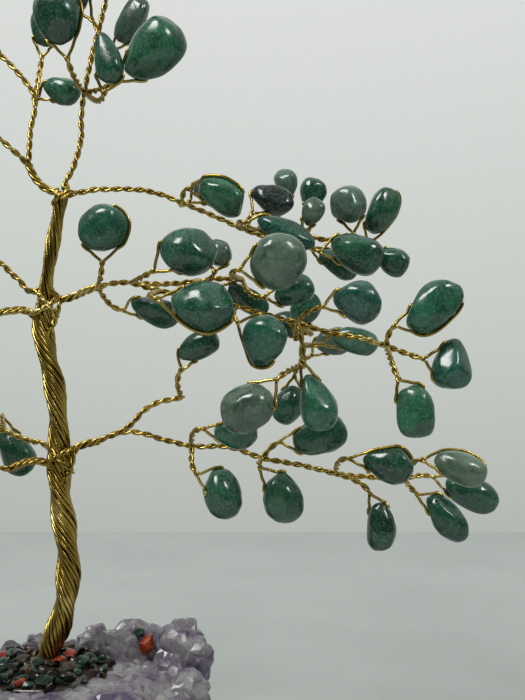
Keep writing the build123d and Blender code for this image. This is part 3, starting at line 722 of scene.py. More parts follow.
# The chips' slots, each with its material's name, its shades and how clear it is.
CHIP_STONES = {
    "red_jasper": ("Red jasper", ((0.3, "#2A0A05"), (0.5, "#7C2710"), (0.7, "#A04A22")), 0.0),
    "green_chip": ("Green chip", ((0.3, "#08140F"), (0.5, "#13271C"), (0.7, "#2F4836")), 0.0),
    "dark_agate": ("Dark agate", ((0.3, "#060505"), (0.55, "#0F0C0A"), (0.7, "#261E19")), 0.0),
    "tiger_eye": ("Tiger eye", ((0.3, "#120904"), (0.5, "#2C1B0D"), (0.7, "#573C20")), 0.0),
    "rock_crystal": ("Rock crystal", ((0.3, "#2E2620"), (0.7, "#5E5044")), 0.45),
}
MAKERS = {
    "brass_wire": brass_material,
    "aventurine": aventurine_material,
    "amethyst": amethyst_material,
    "clear_glue": glue_material,
}
made_materials = {}


def finish_for(slot):
    """The material of a slot, made once."""
    if slot not in made_materials:
        made_materials[slot] = chip_material(*CHIP_STONES[slot]) if slot in CHIP_STONES else MAKERS[slot]()
    return made_materials[slot]


def strand_tree():
    """Twisted strands: wires laid round each path at a radius, with a pitch, a hand and some unevenness."""
    name = "Twisted strands"
    if name in bpy.data.node_groups:
        return bpy.data.node_groups[name]
    tree = bpy.data.node_groups.new(name, "GeometryNodeTree")
    face = tree.interface
    face.new_socket("Geometry", in_out="OUTPUT", socket_type="NodeSocketGeometry")
    face.new_socket("Geometry", in_out="INPUT", socket_type="NodeSocketGeometry")
    for label, kind in (
        ("Strands", "Int"), ("Pitch", "Float"), ("Lay radius", "Float"), ("Wire radius", "Float"),
        ("Step", "Float"), ("Sides", "Int"), ("Uneven", "Float"), ("Lobes", "Float"), ("Seed", "Int"),
        ("Material", "Material"),
    ):
        face.new_socket(label, in_out="INPUT", socket_type="NodeSocket" + kind)
    add = node_adder(tree)
    source = add("NodeGroupInput").outputs
    strands = source["Strands"]
    even = add(
        "GeometryNodeResampleCurve", {"Curve": source["Geometry"], "Length": source["Step"]}, mode="LENGTH"
    )
    copies = add("GeometryNodeDuplicateElements", {"Geometry": even, "Amount": strands}, domain="SPLINE")
    index = copies.outputs["Duplicate Index"]
    # Each strand is a little out of its even place and off its even radius.
    luck = add(
        "FunctionNodeRandomValue", {"Min_001": -1.0, "Max_001": 1.0, "ID": index, "Seed": source["Seed"]},
        data_type="FLOAT",
    )
    drift = add("ShaderNodeMath", {"Value": luck, "Value_001": source["Uneven"]}, operation="MULTIPLY")
    off_place = add("ShaderNodeMath", {"Value": drift, "Value_001": UNEVEN_PLACE}, operation="MULTIPLY")
    number = add("ShaderNodeMath", {"Value": index, "Value_001": off_place}, operation="ADD")
    share = add("ShaderNodeMath", {"Value": number, "Value_001": strands}, operation="DIVIDE")
    along = add("GeometryNodeSplineParameter").outputs["Length"]
    turns = add("ShaderNodeMath", {"Value": along, "Value_001": source["Pitch"]}, operation="DIVIDE")
    phase = add("ShaderNodeMath", {"Value": turns, "Value_001": share}, operation="ADD")
    angle = add("ShaderNodeMath", {"Value": phase, "Value_001": 2 * math.pi}, operation="MULTIPLY")
    off_radius = add(
        "ShaderNodeMath",
        {"Value": drift, "Value_001": UNEVEN_RADIUS, "Value_002": 1.0}, operation="MULTIPLY_ADD",
    )
    # Two lobes: the bundle is oval, and the oval turns with the lay.
    spread_out = add("ShaderNodeMath", {"Value": index, "Value_001": strands}, operation="DIVIDE")
    round_twice = add(
        "ShaderNodeMath", {"Value": spread_out, "Value_001": 4 * math.pi}, operation="MULTIPLY"
    )
    lobe = add("ShaderNodeMath", {"Value": round_twice}, operation="COSINE")
    swollen = add(
        "ShaderNodeMath", {"Value": lobe, "Value_001": source["Lobes"], "Value_002": off_radius},
        operation="MULTIPLY_ADD",
    )
    radius = add(
        "ShaderNodeMath", {"Value": source["Lay radius"], "Value_001": swollen}, operation="MULTIPLY"
    )
    normal = add("GeometryNodeInputNormal")
    tangent = add("GeometryNodeInputTangent")
    side = add("ShaderNodeVectorMath", {"Vector": tangent, "Vector_001": normal}, operation="CROSS_PRODUCT")
    cosine = add("ShaderNodeMath", {"Value": angle}, operation="COSINE")
    sine = add("ShaderNodeMath", {"Value": angle}, operation="SINE")
    near = add("ShaderNodeVectorMath", {"Vector": normal, "Scale": cosine}, operation="SCALE")
    across = add("ShaderNodeVectorMath", {"Vector": side, "Scale": sine}, operation="SCALE")
    ray = add("ShaderNodeVectorMath", {"Vector": near, "Vector_001": across}, operation="ADD")
    offset = add("ShaderNodeVectorMath", {"Vector": ray, "Scale": radius}, operation="SCALE")
    moved = add("GeometryNodeSetPosition", {"Geometry": copies, "Offset": offset})
    ring = add(
        "GeometryNodeCurvePrimitiveCircle", {"Resolution": source["Sides"], "Radius": source["Wire radius"]},
        mode="RADIUS",
    )
    laid = add("GeometryNodeCurveToMesh", {"Curve": moved, "Profile Curve": ring, "Fill Caps": True})
    smooth = add("GeometryNodeSetShadeSmooth", {"Geometry": laid})
    real = add("GeometryNodeRealizeInstances", {"Geometry": smooth})
    paint = add("GeometryNodeSetMaterial", {"Geometry": real, "Material": source["Material"]})
    add("NodeGroupOutput", {"Geometry": paint})
    return tree


def add_object(name, data):
    """A new object in the scene."""
    made = bpy.data.objects.new(name, data)
    bpy.context.collection.objects.link(made)
    return made


def wires(name, paths, strands, pitch, lay, radius, uneven=0.0, lobes=0.0, straight=False, seed=1):
    """A mesh of twisted strands along paths, each a list of points that the line goes through."""
    settings = bpy.context.scene.gem_tree_wire
    curve = bpy.data.curves.new(name + "_path", "CURVE")
    curve.dimensions = "3D"
    curve.resolution_u = 24
    for path in paths:
        spline = curve.splines.new("POLY" if straight else "BEZIER")
        points = spline.points if straight else spline.bezier_points
        points.add(len(path) - 1)
        for point, spot in zip(points, path):
            if straight:
                point.co = (*spot, 1.0)
            else:
                point.co = spot
                point.handle_left_type = "AUTO"
                point.handle_right_type = "AUTO"
    guide = add_object(name + "_path", curve)
    tree = strand_tree()
    modifier = guide.modifiers.new("Strands", "NODES")
    modifier.node_group = tree
    values = {
        "Strands": strands, "Pitch": pitch, "Lay radius": lay, "Wire radius": radius, "Step": settings.step,
        "Sides": settings.sides, "Uneven": uneven, "Lobes": lobes, "Seed": seed,
        "Material": finish_for("brass_wire"),
    }
    for item in tree.interface.items_tree:
        if item.in_out == "INPUT" and item.name in values:
            modifier[item.identifier] = values[item.name]
    graph = bpy.context.evaluated_depsgraph_get()
    mesh = bpy.data.meshes.new_from_object(guide.evaluated_get(graph), depsgraph=graph)
    mesh.name = name
    bpy.data.objects.remove(guide)
    bpy.data.curves.remove(curve)
    return add_object(name, mesh)


def settle(piece, body, slot, *nodes):
    """A piece rides a body and stands for nodes. The slot is not used."""
    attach(piece, body)
    if nodes:
        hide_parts(*nodes)


def join_meshes(name, pieces):
    """One object from several mesh objects with the same material."""
    whole = bmesh.new()
    for piece in pieces:
        whole.from_mesh(piece.data)
    mesh = bpy.data.meshes.new(name)
    whole.to_mesh(mesh)
    whole.free()
    mesh.materials.append(pieces[0].data.materials[0])
    for piece in pieces:
        bpy.data.meshes.remove(piece.data)
    return add_object(name, mesh)


def plain_copy(piece):
    """A plain mesh of an object with its modifiers applied, in place of the object."""
    graph = bpy.context.evaluated_depsgraph_get()
    mesh = bpy.data.meshes.new_from_object(piece.evaluated_get(graph), depsgraph=graph)
    bpy.data.objects.remove(piece)
    return mesh


def smooth_mesh(name, shape, slot):
    """An object from a bmesh, shaded smooth, with a slot's material."""
    mesh = bpy.data.meshes.new(name)
    shape.to_mesh(mesh)
    shape.free()
    mesh.polygons.foreach_set("use_smooth", [True] * len(mesh.polygons))
    mesh.materials.append(finish_for(slot))
    return add_object(name, mesh)


def trunk_points():
    """The trunk's line from inside the cluster up."""
    points = [place(*spot) for spot in TRUNK]
    return [points[0] - Vector((0, 0, SOCKET_DEPTH * MM))] + points


def trunk_runs():
    """Three runs of the trunk, each above the first starting a little inside the one below."""
    points = trunk_points()
    low, high = (split + 1 for split in TRUNK_SPLITS)
    cuts = [(points[i] + points[i + 1]) / 2 for i in (low, high)]
    return (
        points[: low + 1] + [cuts[0]],
        points[low : high + 1] + [cuts[1]],
        points[high:],
    )


# Pairs that cross the trunk where limbs leave it, as places.
WRAPS = (
    ((44, 464, -0.07), (52, 460, -0.115), (60, 455, -0.13), (68, 450, -0.11), (76, 447, -0.03)),
    (
        (46, 446, 0.05), (50, 450, -0.06), (58, 459, -0.125), (67, 467, -0.11), (71, 473, 0.02),
        (64, 478, 0.06),
    ),
    ((30, 290, 0.0), (38, 295, -0.07), (46, 303, -0.105), (54, 312, -0.09), (56, 317, 0.0), (50, 321, 0.05)),
    ((26, 312, -0.03), (36, 312, -0.1), (45, 307, -0.115), (53, 301, -0.08), (60, 298, -0.01)),
    ((48, 190, -0.02), (55, 194, -0.07), (62, 197, -0.085), (69, 195, -0.07), (76, 193, -0.01)),
    ((56, 206, 0.05), (54, 202, -0.05), (60, 196, -0.085), (66, 190, -0.06), (65, 184, 0.02)),
    ((76, 448, -0.03), (73, 456, -0.06), (71, 466, -0.07), (66, 478, -0.08), (60, 486, -0.05)),
    ((60, 299, -0.03), (58, 307, -0.06), (55, 318, -0.065), (51, 330, -0.07), (47, 337, -0.03)),
)


# The trunk's three lengths: diameter and outer wires. The outer wires lie on a core of thicker ones.
TRUNK_BUNDLES = (("trunk_lower", 6.8, 15), ("trunk_middle", 6.0, 13), ("trunk_upper", 4.2, 8))
TRUNK_LOBES = 0.15
CORE_SHARE = 0.66
CORE_SWELL = 1.4


class GEMTREE_OT_trunk(bpy.types.Operator):
    """Lay the trunk's wires in three lengths that get thinner, with pairs that cross it where limbs leave"""

    bl_idname = "gemtree.trunk"
    bl_label = "Trunk"

    def execute(self, context):
        wire = context.scene.gem_tree_wire
        for (name, diameter, strands), run in zip(TRUNK_BUNDLES, trunk_runs()):
            lay = diameter / 2 * MM - wire.fine
            outer = wires(
                name + "_outer", [run], strands, -wire.trunk_pitch, lay, wire.fine, uneven=1.0,
                lobes=TRUNK_LOBES, seed=3,
            )
            core = wires(
                name + "_core", [run], strands // 2, -wire.trunk_pitch, lay * CORE_SHARE,
                wire.fine * CORE_SWELL, lobes=TRUNK_LOBES,
            )
            piece = join_meshes(name + "_wires", [outer, core])
            settle(piece, "stand", "brass_wire", name)
        crossings = [[place(*spot) for spot in wrap] for wrap in WRAPS]
        wrap = wires("trunk_crossings", crossings, 2, -wire.pair_pitch, wire.wire, wire.wire, uneven=0.3)
        settle(wrap, "stand", "brass_wire")
        return {"FINISHED"}


# Limbs whose root is a thick rope; the others leave the trunk as one pair.
THICK_ROOTS = ("low_right", "mid_right", "top_left", "low_left_front", "mid_left_low")
ROOT_STRANDS = 4
ROOT_LAY = 0.78 * MM
# Where a root starts between the trunk's line and the limb.
ROOT_START_SHARE = 0.25


class GEMTREE_OT_ropes(bpy.types.Operator):
    """Lay the twisted ropes of every limb and bend their roots between the trunk and the limb"""

    bl_idname = "gemtree.ropes"
    bl_label = "Ropes"

    def execute(self, context):
        wire = context.scene.gem_tree_wire
        trunk = trunk_points()
        for name, limb in LIMBS.items():
            spots = {key: place(*value) for key, value in limb["places"].items()}
            thick = [spots[key] for key in limb["limb"].split()]
            foot = min(trunk, key=lambda point: (point - thick[0]).length)
            inside = foot.lerp(thick[0], ROOT_START_SHARE)
            laid = (2, -wire.pair_pitch, wire.fine)
            if name in THICK_ROOTS:
                laid = (ROOT_STRANDS, -wire.rope_pitch, ROOT_LAY)
            root = wires(name + "_root", [[inside] + thick], *laid, wire.fine, uneven=0.8, seed=7)
            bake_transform(root)
            paths = [[spots[key] for key in names.split()] for names in limb["ropes"]]
            rope = wires(
                name + "_rope", paths, 2, -wire.pair_pitch, wire.wire, wire.wire, uneven=0.4, seed=9
            )
            settle(rope, name, "brass_wire", name + "_branch")
        return {"FINISHED"}


# For each form of stone, how much its wide end is wider, and the power of its outline: 2 is an oval.
EGG = {"round": 0.04, "egg": 0.14, "drop": 0.28, "bean": 0.05}
FULL = {"round": 2.1, "egg": 2.1, "drop": 2.0, "bean": 2.45}

# The flats of a stone, as shares of its half size: how many, how far out, how deep and how soft.
FLAT_COUNTS = (5, 8)
FLAT_HEIGHTS = (0.8, 0.95)
FLAT_CUT = 0.4
FLAT_EASE = 0.09
# Swells and dips of a stone for each unit of its size, and the share of the fine ones.
COARSE_WAVES = 1.25
FINE_WAVES = 3.2
FINE_SHARE = 0.3
# How far the waves of two stones or chips may lie apart, how much the flats look along a stone, and the chance
# in its depth.
WAVE_SHIFT = 40
FLAT_ALONG = 0.8
DEPTH_SHARES = (0.92, 1.1)
# How the width of an egg grows along it and what it loses all over, for each unit of its form.
EGG_GROWTH = 1.2
EGG_LOSS = 0.25


class Pebble:
    """The surface of one tumbled stone: an uneven oval with soft flats."""

    def __init__(self, spot, settings, chance):
        self.spot = spot
        self.settings = settings
        self.flats = []
        for _ in range(chance.randint(*FLAT_COUNTS)):
            way = Vector((chance.gauss(0, FLAT_ALONG), chance.gauss(0, 1), chance.gauss(0, 1))).normalized()
            self.flats.append((way, chance.uniform(*FLAT_HEIGHTS)))
        self.shift = Vector([chance.uniform(-WAVE_SHIFT, WAVE_SHIFT) for _ in range(3)])
        self.depth = spot.b * settings.flatness * chance.uniform(*DEPTH_SHARES)

    def surface(self, ray):
        """The point of the surface for a unit ray in the stone's own frame."""
        spot = self.spot
        rough = self.settings.rough
        power = FULL[spot.form]
        egg = EGG[spot.form]
        full = (abs(ray.x) ** power + abs(ray.y) ** power + abs(ray.z) ** power) ** (-1 / power)
        coarse = noise.noise(ray * COARSE_WAVES + self.shift)
        fine = noise.noise(ray * FINE_WAVES + self.shift)
        point = ray * (full * (1 + rough * coarse + FINE_SHARE * rough * fine))
        for way, height in self.flats:
            over = point.dot(way) - height
            point -= way * (FLAT_CUT * (over + math.hypot(over, FLAT_EASE)))
        swell = self.settings.swell
        taper = swell * (1 + egg * EGG_GROWTH * point.x - egg * EGG_LOSS)
        return (
            spot.centre
            + spot.u * (point.x * spot.a * swell)
            + spot.v * (point.y * spot.b * taper)
            + spot.w * (point.z * self.depth * taper)
        )

    def angle_of(self, way):
        """The angle in the stone's flat plane, on its unit circle, of a way from its centre."""
        return math.atan2(way.dot(self.spot.v) / self.spot.b, way.dot(self.spot.u) / self.spot.a)

    def rim(self, angle, proud):
        """A point at an angle in the stone's flat plane, a little proud of the surface."""
        ray = Vector((math.cos(angle), math.sin(angle), 0))
        out = self.spot.u * (ray.x / self.spot.a) + self.spot.v * (ray.y / self.spot.b)
        return self.surface(ray) + out.normalized() * proud


def pebbles(name, limb):
    """The stones of a limb, the same each time for the same seed."""
    settings = bpy.context.scene.gem_tree_stone
    chance = random.Random(f"{settings.seed} {name}")
    return [Pebble(spot, settings, chance) for spot in stone_spots(limb)]


# Where a wire lands on its stone and where it ends on a far flank, in degrees from the neck.
LANDING = 32.0
FLANK = 158.0
# How far a leg goes into its hole, the turn between two of its points, and how proud of the stone it lies at
# its landing, along the rim and at its end, in wire radii.
INTO_HOLE = 0.7
LEG_TURN = 0.3
PROUD_LANDING = 1.25
PROUD_RIM = 0.95
PROUD_END = 0.35
# The length in which a twig runs straight off its stone, at most, the same as a share of the twig, and the
# step between its points.
APPROACH = 6.0 * MM
APPROACH_SHARE = 0.36
TWIG_STEP = 0.5 * MM


def leg_line(pebble, side, way, wrap, radius):
    """One leg of a loop: from the neck onto the stone, along its rim and into it."""
    spot = pebble.spot
    start = pebble.angle_of(spot.neck_way)
    inside = spot.hole + spot.hole_way * (side * INTO_HOLE)
    turn = (pebble.angle_of(spot.hole + spot.hole_way * side - spot.centre) - start) * way % (2 * math.pi)
    if wrap:
        turn = math.radians(FLANK)
        inside = spot.centre.lerp(pebble.rim(start + way * turn, 0), INTO_HOLE)
    landing = min(0.5 * turn, math.radians(LANDING))
    count = max(2, round((turn - landing) / LEG_TURN))
    leg = [
        spot.neck + spot.hole_way * (way * radius),
        spot.neck.lerp(pebble.rim(start + way * landing, radius), 0.5) + spot.hole_way * (way * radius),
    ]
    for k in range(count + 1):
        proud = PROUD_LANDING if k == 0 else PROUD_END if k == count else PROUD_RIM
        leg.append(pebble.rim(start + way * (landing + (turn - landing) * k / count), proud * radius))
    return leg + [inside]


def twig_line(pebble, fork, wrap, wire):
    """One wire: from the fork along a twisted pair to the stone, through it and back to the fork."""
    spot = pebble.spot
    run = (fork - spot.neck).length
    approach = spot.neck + spot.neck_way * min(APPROACH, APPROACH_SHARE * run)
    steps = max(8, round(run / TWIG_STEP))
    radius = wire.wire
    normal = spot.hole_way.copy()
    there = []
    back = []
    gone = 0.0
    last = spot.neck
    for i in range(1, steps + 1):
        t = i / steps
        point = spot.neck * (1 - t) ** 2 + approach * (2 * t * (1 - t)) + fork * t**2
        tangent = ((approach - spot.neck) * (1 - t) + (fork - approach) * t).normalized()
        normal = (normal - tangent * normal.dot(tangent)).normalized()
        gone += (point - last).length
        last = point
        angle = -2 * math.pi * gone / wire.pair_pitch
        offset = (normal * math.cos(angle) + tangent.cross(normal) * math.sin(angle)) * radius
        there.append(point + offset)
        back.append(point - offset)
    legs = [
        leg_line(pebble, side, way, wrap == mark, radius)
        for side, way, mark in zip(spot.exits, (1, -1), "lr")
    ]
    return there[::-1] + through(legs[0] + legs[1][::-1], 6) + back


class GEMTREE_OT_twigs(bpy.types.Operator):
    """Run one wire to every stone as a twisted pair with a loop through the stone"""

    bl_idname = "gemtree.twigs"
    bl_label = "Twigs"

    def execute(self, context):
        wire = context.scene.gem_tree_wire
        for name, limb in LIMBS.items():
            wraps = STONE_WRAPS.get(name, ".")
            paths = []
            for number, pebble in enumerate(pebbles(name, limb)):
                fork = place(*limb["places"][pebble.spot.fork])
                paths.append(twig_line(pebble, fork, wraps[number % len(wraps)], wire))
            piece = wires(name + "_pairs", paths, 1, wire.pair_pitch, 0.0, wire.wire, straight=True)
            settle(piece, name, "brass_wire", name + "_twigs")
        return {"FINISHED"}


def add_pebble(shape, layer, pebble, tone, detail):
    """The mesh of a tumbled stone in its own shade."""
    for vert in bmesh.ops.create_icosphere(shape, subdivisions=detail, radius=1.0)["verts"]:
        vert.co = pebble.surface(vert.co.copy())
        vert[layer] = tone


# How far a stone's shade may go in light and in warmth.
TONE_LIGHTS = (0.7, 1.06)
TONE_WARMTHS = (0.9, 1.12)


def tone_colour(letter, chance):
    """A stone's shade with a little chance in it."""
    colour = linear(TONES[letter])
    light = chance.uniform(*TONE_LIGHTS)
    warm = chance.uniform(*TONE_WARMTHS)
    return (colour[0] * light * warm, colour[1] * light, colour[2] * light / warm, 1.0)


class GEMTREE_OT_stones(bpy.types.Operator):
    """Shape the tumbled stones of every limb, those that swing each on its own body"""

    bl_idname = "gemtree.stones"
    bl_label = "Stones"

    def execute(self, context):
        settings = context.scene.gem_tree_stone
        chance = random.Random(settings.seed)
        for name, limb in LIMBS.items():
            fixed = bmesh.new()
            fixed_layer = fixed.verts.layers.float_color.new("tone")
            letters = STONE_TONES.get(name, OTHER_TONES)
            for number, pebble in enumerate(pebbles(name, limb)):
                tone = tone_colour(letters[number % len(letters)], chance)
                own = pebble.spot.name
                if not own:
                    add_pebble(fixed, fixed_layer, pebble, tone, settings.detail)
                    continue
                loose = bmesh.new()
                loose_layer = loose.verts.layers.float_color.new("tone")
                add_pebble(loose, loose_layer, pebble, tone, settings.detail)
                settle(smooth_mesh(own + "_stone", loose, "aventurine"), own, "aventurine", own)
            piece = smooth_mesh(name + "_gems", fixed, "aventurine")
            settle(piece, name, "aventurine", name + "_stones")
        return {"FINISHED"}


# A crystal's lean, its six sides' unevenness, and the rings of its blunt tip: heights and widths in radii.
CRYSTAL_LEAN = 0.3
CRYSTAL_SIDES = (0.88, 1.1)
CRYSTAL_FOOT_WIDTH = 1.05
CRYSTAL_TIP_RINGS = ((-0.78, 1.0), (-0.3, 0.62), (0.0, 0.2))
CRYSTAL_TURN = 23.0


def add_crystal(shape, tip, radius, length, turn, chance):
    """A blunt six-sided crystal with its tip at a point, leaning out from the trunk."""
    lean = Vector((tip.x, tip.y, 0)).normalized() * CRYSTAL_LEAN
    way = (Vector((0, 0, 1)) + lean).normalized()
    side = way.orthogonal().normalized()
    rings = []
    tip_rings = [(share * radius, wide) for share, wide in CRYSTAL_TIP_RINGS]
    for height, wide in [(-length, CRYSTAL_FOOT_WIDTH), *tip_rings]:
        ring = []
        for i in range(6):
            angle = turn + math.pi / 3 * i
            out = side * math.cos(angle) + way.cross(side) * math.sin(angle)
            spread = radius * wide * chance.uniform(*CRYSTAL_SIDES)
            ring.append(shape.verts.new(tip + way * height + out * spread))
        rings.append(ring)
    for low, high in zip(rings, rings[1:]):
        for i in range(6):
            shape.faces.new((low[i], low[(i + 1) % 6], high[(i + 1) % 6], high[i]))
    shape.faces.new(rings[0][::-1])
    shape.faces.new(rings[-1])


# The block's rings as shares of its height and of its size.
BLOCK_RING_SHARES = ((0.0, 0.88), (0.2, 1.0), (0.62, 0.99), (0.86, 0.93), (1.0, 0.78))
# Spacing of the small crystals on the cluster's surface and of its slower waves, and the height in which both
# grow from nothing at its foot, in millimetres.
CELL = 5.0
WAVE = 9.0
FOOT_EASE = 3.0
# How strongly the crystals and the waves push the surface out, and how far all of it moves in.
CELL_PUSH = 2.2
WAVE_PUSH = 0.7
PUSH_BACK = 0.7
FACET_CREASE = math.radians(14.0)


class GEMTREE_OT_cluster(bpy.types.Operator):
    """Grow the amethyst cluster: a rough block with blunt crystals, melted together and roughened"""

    bl_idname = "gemtree.cluster"
    bl_label = "Cluster"

    def execute(self, context):
        settings = context.scene.gem_tree_base
        chance = random.Random(settings.seed)
        shape = bmesh.new()
        rings = []
        for height, size in BLOCK_RING_SHARES:
            ring = []
            for i, share in enumerate(OUTLINE_SHARES):
                angle = 2 * math.pi * i / len(OUTLINE_SHARES)
                across = BASE_SHIFT + BASE_HALF_LENGTH * share * size * math.cos(angle)
                back = BASE_HALF_DEPTH * share * size * math.sin(angle)
                ring.append(shape.verts.new(Vector((across, back, BASE_TOP * height)) * MM))
            rings.append(ring)
        count = len(OUTLINE_SHARES)
        for low, high in zip(rings, rings[1:]):
            for i in range(count):
                shape.faces.new((low[i], low[(i + 1) % count], high[(i + 1) % count], high[i]))
        shape.faces.new(rings[0][::-1])
        shape.faces.new(rings[-1])
        for number, (column, row, depth_share, share) in enumerate(CRYSTALS):
            tip = place(column, row, depth_share)
            turn = math.radians(CRYSTAL_TURN * number)
            add_crystal(shape, tip, CRYSTAL_RADIUS * share * MM, CRYSTAL_LENGTH * MM, turn, chance)
        mesh = bpy.data.meshes.new("cluster_raw")
        shape.to_mesh(mesh)
        shape.free()
        raw = add_object("cluster_raw", mesh)
        melt = raw.modifiers.new("Melt", "REMESH")
        melt.mode = "VOXEL"
        melt.voxel_size = settings.voxel
        ease = raw.modifiers.new("Ease", "SMOOTH")
        ease.factor = 0.5
        ease.iterations = 1
        whole = plain_copy(raw)
        ways = [vert.normal.copy() for vert in whole.vertices]
        for vert, way in zip(whole.vertices, ways):
            spot = vert.co / MM
            near, next_near = noise.voronoi(spot / CELL)[0][:2]
            push = noise.noise(spot / WAVE) * WAVE_PUSH + (next_near - near) * CELL_PUSH - PUSH_BACK
            lift = min(1.0, max(0.0, spot.z / FOOT_EASE))
            vert.co += way * (push * settings.ripple * lift)
            vert.co.z = max(0.0, vert.co.z)
        rough = add_object("cluster_rough", whole)
        cleave = rough.modifiers.new("Cleave", "DECIMATE")
        cleave.ratio = settings.facets
        whole = plain_copy(rough)
        whole.polygons.foreach_set("use_smooth", [True] * len(whole.polygons))
        whole.set_sharp_from_angle(angle=FACET_CREASE)
        whole.materials.clear()
        whole.materials.append(finish_for("amethyst"))
        settle(add_object("amethyst_lumps", whole), "stand", "amethyst", "amethyst_cluster")
        return {"FINISHED"}


# The flats of a chip: how many, how far out as shares of its half size, and the share of what is past them
# that goes.
CHIP_FLATS = 9
CHIP_FLAT_HEIGHTS = (0.55, 0.9)
CHIP_FLAT_CUT = 0.9
# A chip's swell before its flats are cut, how uneven it is, and its waves for each unit of its size.
CHIP_SWELL = 1.06
CHIP_ROUGH = 0.14
CHIP_WAVES = 1.6


def add_chip(shape, spot, turn, pitch, share, chance):
    """One polished chip: a small uneven oval with flats."""
    verts = bmesh.ops.create_icosphere(shape, subdivisions=3, radius=1.0)["verts"]
    flats = []
    for _ in range(CHIP_FLATS):
        way = Vector((chance.gauss(0, 1), chance.gauss(0, 1), chance.gauss(0, 1))).normalized()
        flats.append((way, chance.uniform(*CHIP_FLAT_HEIGHTS)))
    shift = Vector([*(chance.uniform(-WAVE_SHIFT, WAVE_SHIFT) for _ in range(2)), 0])
    frame_turn = Matrix.Rotation(-math.radians(pitch), 3, "Y") @ Matrix.Rotation(math.radians(turn), 3, "Z")
    half = Vector((CHIP_LENGTH, CHIP_WIDTH, CHIP_THICKNESS)) * (share * MM / 2)
    for vert in verts:
        point = vert.co * (CHIP_SWELL + CHIP_ROUGH * noise.noise(vert.co * CHIP_WAVES + shift))
        for way, height in flats:
            over = point.dot(way) - height
            if over > 0:
                point -= way * (over * CHIP_FLAT_CUT)
        vert.co = spot + frame_turn @ Vector((point.x * half.x, point.y * half.y, point.z * half.z))


# Small broken chips that fill the gaps between the others, spread evenly by the golden angle. The first few
# places, inside the trunk, stay empty.
CRUMBS = 84
CRUMBS_SKIPPED = 6
CRUMB_LIFT = 0.3
CRUMB_TILT = 50
CRUMB_SIZE_SHARES = (0.5, 1.0)
CHIP_CREASE = math.radians(22.0)
CHIP_SEED = 21
GOLDEN_ANGLE = math.pi * (3 - math.sqrt(5))


def dome_height(radius):
    """How high the glue stands over the cluster's top at a distance from the trunk."""
    return GLUE_HEIGHT * (1 - (radius / GLUE_RADIUS) ** 2)


class GEMTREE_OT_chips(bpy.types.Operator):
    """Scatter the mixed chips round the trunk's foot and stick the lone ones on the crystals"""

    bl_idname = "gemtree.chips"
    bl_label = "Chips"

    def execute(self, context):
        chance = random.Random(CHIP_SEED)
        shapes = {kind: bmesh.new() for kind in dict.fromkeys(CHIP_KINDS)}
        number = 0
        for radius, count, start, sweep_angle in CHIP_RINGS:
            dome = dome_height(radius)
            for i in range(count):
                angle = start + sweep_angle * i / count
                share = CHIP_SIZE_SHARES[number % len(CHIP_SIZE_SHARES)]
                x = radius * math.cos(math.radians(angle))
                y = radius * math.sin(math.radians(angle))
                height = BASE_TOP + dome + CHIP_THICKNESS * (share / 2 - CHIP_SINK_SHARE)
                kind = CHIP_KINDS[number % len(CHIP_KINDS)]
                add_chip(shapes[kind], Vector((x, y, height)) * MM, angle + 90, 0, share, chance)
                number += 1
        for k in range(CRUMBS):
            radius = GLUE_RADIUS * math.sqrt((k + CRUMBS_SKIPPED) / (CRUMBS + CRUMBS_SKIPPED))
            angle = k * GOLDEN_ANGLE
            height = BASE_TOP + dome_height(radius) + CRUMB_LIFT
            spot = Vector((radius * math.cos(angle), radius * math.sin(angle), height)) * MM
            shape = shapes[chance.choice(CHIP_KINDS[1:])]
            turn = chance.uniform(0, 360)
            pitch = chance.uniform(-CRUMB_TILT, CRUMB_TILT)
            add_chip(shape, spot, turn, pitch, chance.uniform(*CRUMB_SIZE_SHARES), chance)
        for kind, spot, pitch, share in LONE_CHIPS:
            add_chip(shapes[kind], place(*spot), 0, pitch, share, chance)
        for kind, shape in shapes.items():
            slot = CHIP_SLOTS[kind]
            piece = smooth_mesh(kind + "_chips", shape, slot)
            piece.data.set_sharp_from_angle(angle=CHIP_CREASE)
            settle(piece, "stand", slot, "chips_" + kind)
        return {"FINISHED"}


# The glue's mesh, the unevenness of its edge as a share, and its ripples, skirt and edge drop in millimetres.
GLUE_RINGS = 14
GLUE_AROUND = 64
GLUE_EDGE_SHARE = 0.05
GLUE_RIPPLE = 0.3
GLUE_WAVE = 4
GLUE_DROP = 0.3
GLUE_SKIRT = 0.5


